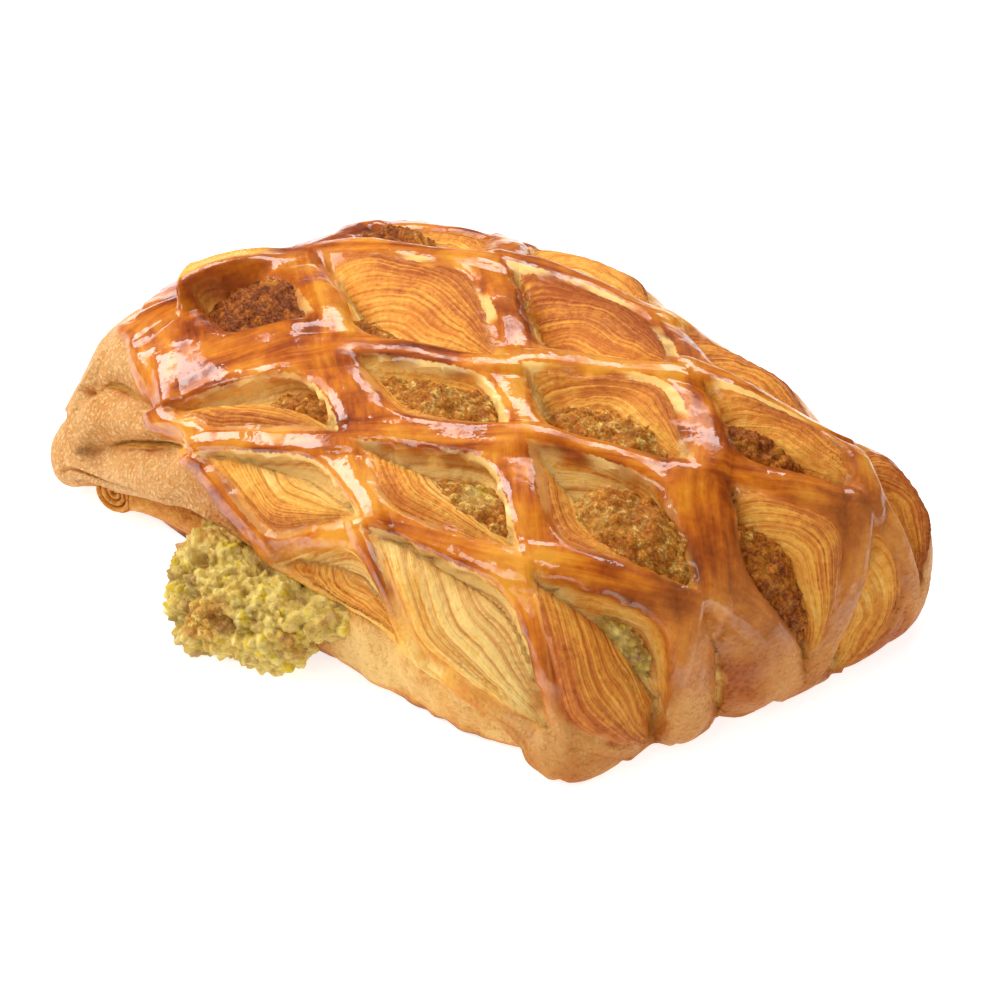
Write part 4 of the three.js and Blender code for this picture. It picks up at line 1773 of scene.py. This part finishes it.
@dataclass
class PistachioTops(SubAssembly):
    """The crumbly filling that shows in the openings; sizes are in millimetres, places in cells."""

    node: ClassVar[str] = "pistachio_filling"
    slot: ClassVar[Slot] = Slot.FILLING
    lattice: Lattice
    step: float = 0.42
    low_a: float = -3.5
    low_b: float = -4.5
    cells: int = 8
    reach: float = 0.44
    deepest: float = 10.0
    bed: float = 10.4
    crumbs: Crumbs = Crumbs(1.7, 61)
    crumb_height: float = 1.7
    fine_crumbs: Crumbs = Crumbs(0.85, 71)
    fine_height: float = 0.8
    crumb_level: float = 0.6
    mounds: Wave = Wave(1.0, 6.0, 75, 3)
    gap_shade_width: float = 2.2
    toast_rise: Span = (0.2, 0.8)
    toast: float = 1.1
    toast_wave: Wave = Wave(0.5, 9.0, 77, 2)
    tag_shares: Span = (0.65, 0.35)

    def build(self, material: bpy.types.Material) -> None:
        """Make the filling under the lattice, lifted into each opening.

        Args:
            material: the material of the baked filling.
        """
        lat = self.lattice
        steps = int(lat.pitch / self.step) * self.cells
        bm = self.maker.grid(steps, steps)
        flat = self.maker.coordinates(bm)
        b = flat[:, 0] * self.cells + self.low_b
        a = flat[:, 1] * self.cells + self.low_a
        cell = lat.cell_values(a, b)
        near = np.maximum(np.abs(a - np.rint(a)), np.abs(b - np.rint(b)))
        keep = (cell["fill"] < self.deepest) & (near < self.reach)
        self.maker.crop(bm, keep)
        a, b = a[keep], b[keep]
        cell = {name: value[keep] for name, value in cell.items()}
        s, t = lat.to_sheet(a, b)
        point = lat.form.point(s, t)
        u, v = a - np.rint(a), b - np.rint(b)
        x = ((u + v) / 2 - cell["place_x"]) / cell["size_x"]
        y = ((u - v) / 2 - cell["place_y"]) / cell["size_y"]
        mound = np.clip(1.0 - (x * x + y * y), 0.0, 1.0) ** 0.5
        depth = lerp(self.bed, cell["fill"], mound)
        first, second, tag = self.crumbs.at(point)
        fine, _, fine_tag = self.fine_crumbs.at(point)
        lumps = self.crumb_height * (self.crumb_level - first) + self.fine_height * (self.crumb_level - fine)
        lumps = lumps + self.mounds.at(point)
        position = point - lat.form.normal(s, t) * (depth - lumps)[:, None]
        rise = smooth(*self.toast_rise, mound)
        toast = np.clip(rise * (self.toast + self.toast_wave.at(point)), 0.0, 1.0) * cell["toasted"]
        # Painted shade darkens the gaps between the crumbs.
        values = {
            "crumb": self.tag_shares[0] * tag + self.tag_shares[1] * fine_tag,
            "toast": toast,
            "gap_shade": np.clip(1.0 - self.gap_shade_width * (second - first), 0.0, 1.0),
        }
        self.dress(self.maker.finish("pistachio_tops", bm, position, values), material)


@dataclass(frozen=True)
class Blob:
    """One rounded mound of filling in millimetres, with the fineness of its mesh."""

    detail: int
    place: Place
    size: Place


@dataclass
class SqueezedLump(SubAssembly):
    """The lump of filling squeezed out under the front rim, in millimetres."""

    node: ClassVar[str] = "pistachio_filling"
    slot: ClassVar[Slot] = Slot.FILLING
    blobs: tuple[Blob, ...] = (
        Blob(7, (-8.2, -52.2, 7.0), (17.2, 9.3, 8.5)),
        Blob(6, (-15.5, -50.0, 8.5), (9.5, 8.5, 7.8)),
        Blob(6, (-3.0, -52.5, 5.0), (11.0, 7.5, 6.0)),
        Blob(6, (-11.5, -55.8, 3.8), (10.0, 7.6, 6.2)),
        Blob(6, (-5.0, -44.0, 11.5), (21.0, 13.0, 4.5)),
    )
    stir: Wave = Wave(0.6, 3.0, 80)
    crumbs: tuple[Crumbs, ...] = (Crumbs(2.2, 81), Crumbs(1.1, 91), Crumbs(0.6, 93))
    crumb_heights: tuple[float, ...] = (2.0, 1.0, 0.4)
    crumb_levels: tuple[float, ...] = (0.55, 0.55, 0.5)
    hollows: Wave = Wave(1.0, 5.0, 95, 3)
    hollow_depth: float = 0.6
    crack_span: Span = (-0.7, -0.1)
    crack_depth: float = 1.3
    gap_shade_width: float = 2.4
    gap_shade_share: float = 0.5
    crack_shade_share: float = 0.6
    inset: float = 1.2
    toast: float = 0.05
    toast_most: float = 0.55
    toast_wave: Wave = Wave(0.6, 9.0, 97, 2)
    tag_shares: Span = (0.55, 0.45)

    def build(self, material: bpy.types.Material) -> None:
        """Make the lump as crumbs on the outline of its joined mounds.

        Args:
            material: the material of the fresh filling.
        """
        bm = bmesh.new()
        owner: list[int] = []
        for number, blob in enumerate(self.blobs):
            ball = bmesh.ops.create_icosphere(bm, subdivisions=blob.detail, radius=1.0)
            owner += [number] * len(ball["verts"])
        ray = unit(self.maker.coordinates(bm))
        place = np.array([blob.place for blob in self.blobs])[owner]
        size = np.array([blob.size for blob in self.blobs])[owner]
        point = place + ray * size
        first, second, tag = self.crumbs[0].at(point + self.stir.at(point)[:, None])
        small, _, small_tag = self.crumbs[1].at(point)
        tiny, _, _ = self.crumbs[2].at(point)
        hollow = self.hollows.at(point)
        crack = smooth(*self.crack_span, hollow)
        lumps = self.crack_depth * crack + self.hollow_depth * hollow
        for height, level, near in zip(self.crumb_heights, self.crumb_levels, (first, small, tiny)):
            lumps = lumps + height * (level - near)
        position = point + unit(ray / size) * (lumps - self.inset)[:, None]
        position[:, 2] = np.maximum(position[:, 2], GROUND)
        # Painted shade: the gaps between the crumbs and the cracks are darkened.
        gap = np.clip(1.0 - self.gap_shade_width * (second - first), 0.0, 1.0)
        values = {
            "crumb": self.tag_shares[0] * tag + self.tag_shares[1] * small_tag,
            "toast": np.clip(self.toast + self.toast_wave.at(point), 0.0, self.toast_most),
            "gap_shade": gap * self.gap_shade_share + self.crack_shade_share * (1.0 - crack),
        }
        self.dress(self.maker.finish("squeezed_lump", bm, position, values), material)


@dataclass
class BaseSheet(SubAssembly):
    """The flat bottom sheet with its layered cut edge, in millimetres."""

    node: ClassVar[str] = "base_sheet"
    slot: ClassVar[Slot] = Slot.BASE
    form: PastryForm
    length: float = 138.0
    width: float = 82.0
    x: float = -2.5
    y: float = -5.5
    height: float = 8.0
    swell: float = 7.2
    swell_belly: float = 1.6
    knobs: Wave = Wave(1.2, 8.0, 105, 3)
    knob_rise: float = 9.0
    recess: float = 4.5
    recess_along: Span = (-16.0, -34.0)
    recess_across: Span = (-20.0, -36.0)
    rounding: float = 1.6
    rounding_share: float = 0.25
    layer_count: float = 3.0
    layer_depth: float = 0.2
    layer_sway: float = 0.5
    wander: Wave = Wave(1.0, 13.0, 101, 2)
    wander_scale: Place = (70.0, 45.0, 3.0)
    edge_wave: Wave = Wave(1.0, 20.0, 103, 2)
    edge_depth: float = 0.25
    wall_share: float = 0.8
    top_width: float = 9.0
    run_scale: float = 60.0
    layer_shift: float = 0.6
    toast: float = 0.1
    toast_foot: float = 0.6
    foot_span: Span = (0.28, 0.02)
    toast_wander: float = 0.2
    toast_swell: float = 0.3
    swell_top: Span = (0.75, 1.0)
    toast_left: float = 0.28
    left_span: Span = (-12.0, -30.0)
    columns: int = 640
    rows: int = 36
    weld: float = 1e-5

    def ring(self) -> bmesh.types.BMesh:
        """Bend a grid into a closed ring with flat faces above and below.

        Returns:
            The ring, with a radius of 1 and a height of 1.
        """
        bm = self.maker.grid(self.columns, self.rows)
        for vert in bm.verts:
            turn = 2 * math.pi * (round(vert.co.x * self.columns) % self.columns) / self.columns
            vert.co = (math.cos(turn), math.sin(turn), vert.co.y)
        bmesh.ops.remove_doubles(bm, verts=bm.verts[:], dist=self.weld)
        self.maker.close(bm)
        return bm

    def plan(self, ring: Array, inset: Array | float) -> tuple[Array, Array]:
        """Place points of the ring in the sheet's plan.

        Args:
            ring: points of the ring.
            inset: how far they lie inside the sheet's outline.

        Returns:
            Places along and across the pastry.
        """
        k = self.form.radius(ring[:, 0], ring[:, 1])
        y = self.y + ring[:, 1] / k * (self.width / 2 - inset)
        return self.x + ring[:, 0] / k * (self.length / 2 - inset) + self.form.shear * y, y

    def build(self, material: bpy.types.Material) -> None:
        """Make the slab, swollen at the front and hollow at the front left.

        Args:
            material: the material of the base.
        """
        bm = self.ring()
        ring = self.maker.coordinates(bm)
        level = ring[:, 2]
        seed_point = ring * np.array(self.wander_scale)
        wander = self.wander.at(seed_point)
        layers = np.abs(np.sin(math.pi * (level * self.layer_count + self.layer_sway * wander)))
        up = np.clip(level / self.wall_share, 0, 1)
        inward = np.clip((level - self.wall_share) / (1.0 - self.wall_share), 0, 1)
        edge = np.clip(np.minimum(up, 1 - up) / self.rounding_share, 0, 1)
        x, y = self.plan(ring, 0.0)
        swell = self.form.puff(x, y)
        inset = self.rounding * (1 - np.sqrt(1 - (1 - edge) ** 2))
        inset = inset + self.layer_depth * (1 - layers) * edge * (1 - swell)
        inset = inset + self.edge_depth * (1 + self.edge_wave.at(seed_point)) + self.top_width * inward
        inset = inset + self.recess * smooth(*self.recess_along, x) * smooth(*self.recess_across, y)
        knob = self.knobs.at(np.stack([x, y, self.knob_rise * up], axis=1))
        inset = inset - swell * (self.swell_belly * np.sin(np.pi * up) + knob)
        x, y = self.plan(ring, inset)
        z = lerp(up * (self.height + self.swell * swell), self.height, inward**2)
        toast = self.toast + self.toast_foot * smooth(*self.foot_span, up) + self.toast_wander * wander
        toast = toast + self.toast_swell * smooth(*self.swell_top, up) * swell
        toast = toast + self.toast_left * smooth(*self.left_span, x)
        values = {
            "layer": z + self.layer_shift * wander,
            "toast": toast,
            "run": self.run_scale * np.arctan2(ring[:, 1], ring[:, 0]),
        }
        self.dress(self.maker.finish("base_slab", bm, np.stack([x, y, z], axis=1), values), material)


@dataclass
class RolledEdge(SubAssembly):
    """The rolled edge of the base sheet at the front left, ending in a spiral, in millimetres."""

    node: ClassVar[str] = "base_sheet"
    slot: ClassVar[Slot] = Slot.BASE
    path: tuple[Place, ...] = (
        (-51.0, -45.8, 6.5),
        (-52.4, -41.0, 6.3),
        (-43.0, -38.6, 6.0),
        (-17.0, -38.4, 5.8),
    )
    radius: float = 4.4
    wrap: float = 1.25
    ridge_power: float = 0.6
    ridge_height: float = 0.9
    hollow: float = 1.0
    end_length: float = 0.6
    end_rounding: float = 0.2
    unevenness: float = 0.35
    folds: int = 3
    fold_start: float = 1.0
    ground: float = 0.05
    toast: float = 0.35
    coil_groove_dark: float = 0.45
    toast_body: float = 0.12
    columns: int = 160
    rows: int = 150
    end_share: float = 0.5
    probe: float = 0.01
    weld: float = 1e-4

    def spine(self, share: Array) -> Array:
        """Place points along the roll's middle line, a smooth curve through its four guides.

        Args:
            share: places along the roll from 0 to 1.

        Returns:
            Points in millimetres, one row each.
        """
        k = share[:, None]
        p = [np.array(q) for q in self.path]
        start = (1 - k) ** 3 * p[0] + 3 * k * (1 - k) ** 2 * p[1]
        return start + 3 * k**2 * (1 - k) * p[2] + k**3 * p[3]

    def build(self, material: bpy.types.Material) -> None:
        """Make the roll as a closed tube with a spiral end.

        Args:
            material: the material of the base.
        """
        bm = self.maker.grid(self.columns, self.rows)
        flat = self.maker.coordinates(bm)
        turn = 2 * math.pi * flat[:, 0]
        disc = np.clip(flat[:, 1] / self.end_share, 0.0, 1.0)
        body = np.clip((flat[:, 1] - self.end_share) / (1 - self.end_share), 0.0, 1.0)
        ahead, behind = (self.spine(np.clip(body + step, 0, 1)) for step in (self.probe, -self.probe))
        tangent = unit(ahead - behind)
        side = unit(np.cross(tangent, np.array([0.0, 0.0, 1.0])))
        top = np.cross(side, tangent)
        coil = disc * self.radius / self.wrap + turn / (2 * math.pi)
        ridge = np.abs(np.sin(math.pi * coil)) ** self.ridge_power
        uneven = self.unevenness * body * np.sin(self.folds * turn + self.fold_start)
        rounding = np.clip((disc - (1.0 - self.end_rounding)) / self.end_rounding, 0.0, 1.0) ** 2
        push = self.ridge_height * ridge * (1 - rounding) - self.hollow * (1 - rounding) * (1 - disc)
        push = np.where(body > 0, 0.0, push) + self.end_length - self.end_length * rounding
        around = side * np.cos(turn)[:, None] + top * np.sin(turn)[:, None]
        point = self.spine(body) + around * (self.radius * disc + uneven)[:, None] - tangent * push[:, None]
        point[:, 2] = np.maximum(point[:, 2], self.ground)
        for vert, co in zip(bm.verts, point):
            vert.co = co
        # Darker in the grooves between the turns of the spiral end.
        toast = self.toast + self.coil_groove_dark * (1 - ridge) * (1 - body) + self.toast_body * body
        layer = self.maker.number(bm)
        bmesh.ops.remove_doubles(bm, verts=bm.verts[:], dist=self.weld)
        self.maker.close(bm)
        rows = self.maker.numbers_left(bm, layer)
        values = {"layer": coil[rows], "toast": toast[rows]}
        self.dress(self.maker.finish("rolled_edge", bm, point[rows], values), material)


@dataclass(frozen=True)
class Softbox:
    """A soft area light, placed in metres to the camera's left, away from the camera, and up."""

    name: str
    left: float
    away: float
    up: float
    size: Span
    power: float
    mirrored: bool = False


@dataclass
class Studio:
    """Pale floor, soft light and the camera at the photographed angle."""

    placement: Placement
    azimuth: float = 45.0
    elevation: float = 35.0
    distance: float = 560.0
    sensor: float = 36.0
    focal: float = 3.0589
    nearest: float = 0.01
    target: Place = (0.0, 0.0, 20.0)
    aim_right: float = 0.00533
    aim_up: float = -0.0188
    lit_height: float = 0.02
    floor_half: float = 4.0
    floor_grey: Colour = (0.6, 0.6, 0.6)
    floor_roughness: float = 0.9
    floor_glow: float = 0.75
    surround: float = 0.36
    softboxes: tuple[Softbox, ...] = (
        Softbox("key_left", 0.75, 0.25, 0.6, (0.7, 0.46), 5.9, True),
        Softbox("back_top", -0.1, 0.7, 0.75, (0.7, 0.4), 4.0, True),
        Softbox("front_left", 0.4, -0.45, 0.62, (0.42, 0.34), 1.5, True),
        Softbox("fill_right", -0.7, -0.35, 0.35, (0.8, 0.6), 1.0),
        Softbox("overhead", 0.2, 0.15, 0.9, (0.6, 0.5), 3.2),
    )

    def directions(self) -> tuple[Vector, Vector, Vector]:
        """Find the camera's directions before it is aimed at the frame's middle.

        Returns:
            Right, up and forward.
        """
        az, el = math.radians(self.azimuth), math.radians(self.elevation)
        back = Vector((math.sin(az) * math.cos(el), -math.cos(az) * math.cos(el), math.sin(el)))
        right = Vector((math.cos(az), math.sin(az), 0.0))
        return right, back.cross(right), -back

    def camera(self) -> None:
        """Place the camera."""
        right, up, forward = self.directions()
        target = Vector(self.placement.to_model(np.array(self.target)))
        data = bpy.data.cameras.new("camera")
        data.sensor_width = self.sensor
        data.lens = self.sensor * self.focal
        data.clip_start = self.nearest
        view = bpy.data.objects.new("camera", data)
        view.location = target - forward * self.distance * MM
        look = forward + right * self.aim_right + up * self.aim_up
        view.rotation_euler = look.to_track_quat("-Z", "Y").to_euler()
        bpy.context.scene.collection.objects.link(view)
        bpy.context.scene.camera = view

    def hang(self, box: Softbox) -> None:
        """Add one soft area light that looks at the pastry.

        Args:
            box: the light.
        """
        right, _, forward = self.directions()
        away = Vector((forward.x, forward.y, 0)).normalized()
        place = right * -box.left + away * box.away + Vector((0, 0, box.up))
        data = bpy.data.lights.new(box.name, "AREA")
        data.shape = "RECTANGLE"
        data.size, data.size_y = box.size
        data.energy = box.power
        lamp = bpy.data.objects.new(box.name, data)
        lamp.location = place
        lamp.visible_glossy = box.mirrored
        lamp.rotation_euler = (Vector((0, 0, self.lit_height)) - place).to_track_quat("-Z", "Y").to_euler()
        bpy.context.scene.collection.objects.link(lamp)

    def floor(self) -> None:
        """Lay the pale floor."""
        bm = bmesh.new()
        bmesh.ops.create_grid(bm, x_segments=4, y_segments=4, size=self.floor_half)
        mesh = bpy.data.meshes.new("floor")
        bm.to_mesh(mesh)
        bm.free()
        piece = bpy.data.objects.new("floor", mesh)
        bpy.context.scene.collection.objects.link(piece)
        sh = Shader("pale_floor")
        sh.set(Base_Color=self.floor_grey, Roughness=self.floor_roughness)
        sh.set(Emission_Color=(1.0, 1.0, 1.0), Emission_Strength=self.floor_glow)
        mesh.materials.append(sh.material)

    def light(self) -> None:
        """Light the scene softly from the left, with a bright surround."""
        for box in self.softboxes:
            self.hang(box)
        world = bpy.data.worlds.new("surround")
        world.use_nodes = True
        background = world.node_tree.nodes["Background"]
        background.inputs["Color"].default_value = (1, 1, 1, 1)
        background.inputs["Strength"].default_value = self.surround
        bpy.context.scene.world = world
        world.cycles_visibility.glossy = False
        bpy.context.scene.view_settings.view_transform = "Standard"


class Pastry:
    """The whole dressed pastry."""

    def __init__(self) -> None:
        """Set up the shared form and lattice."""
        self.form = PastryForm()
        self.lattice = Lattice(form=self.form)
        self.placement = Placement.from_base(BaseSheet.x, BaseSheet.y, self.form.shear)
        self.maker = MeshMaker(self.placement)

    def build(self) -> None:
        """Build and dress every piece in order."""
        LatticeSheet(self.maker, self.lattice).build(DoughFinish().make())
        PistachioTops(self.maker, self.lattice).build(FillingFinish("baked_pistachio").make())
        SqueezedLump(self.maker).build(FillingFinish("fresh_pistachio").make())
        base = BaseFinish().make()
        BaseSheet(self.maker, self.form).build(base)
        RolledEdge(self.maker).build(base)


def main() -> None:
    """Build the pastry and its studio; each piece logs its face count."""
    logging.basicConfig(level=logging.INFO, format="%(name)s %(message)s")
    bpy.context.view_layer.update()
    pastry = Pastry()
    studio = Studio(pastry.placement)
    studio.camera()
    studio.floor()
    studio.light()
    pastry.build()


if __name__ == "__main__":
    main()
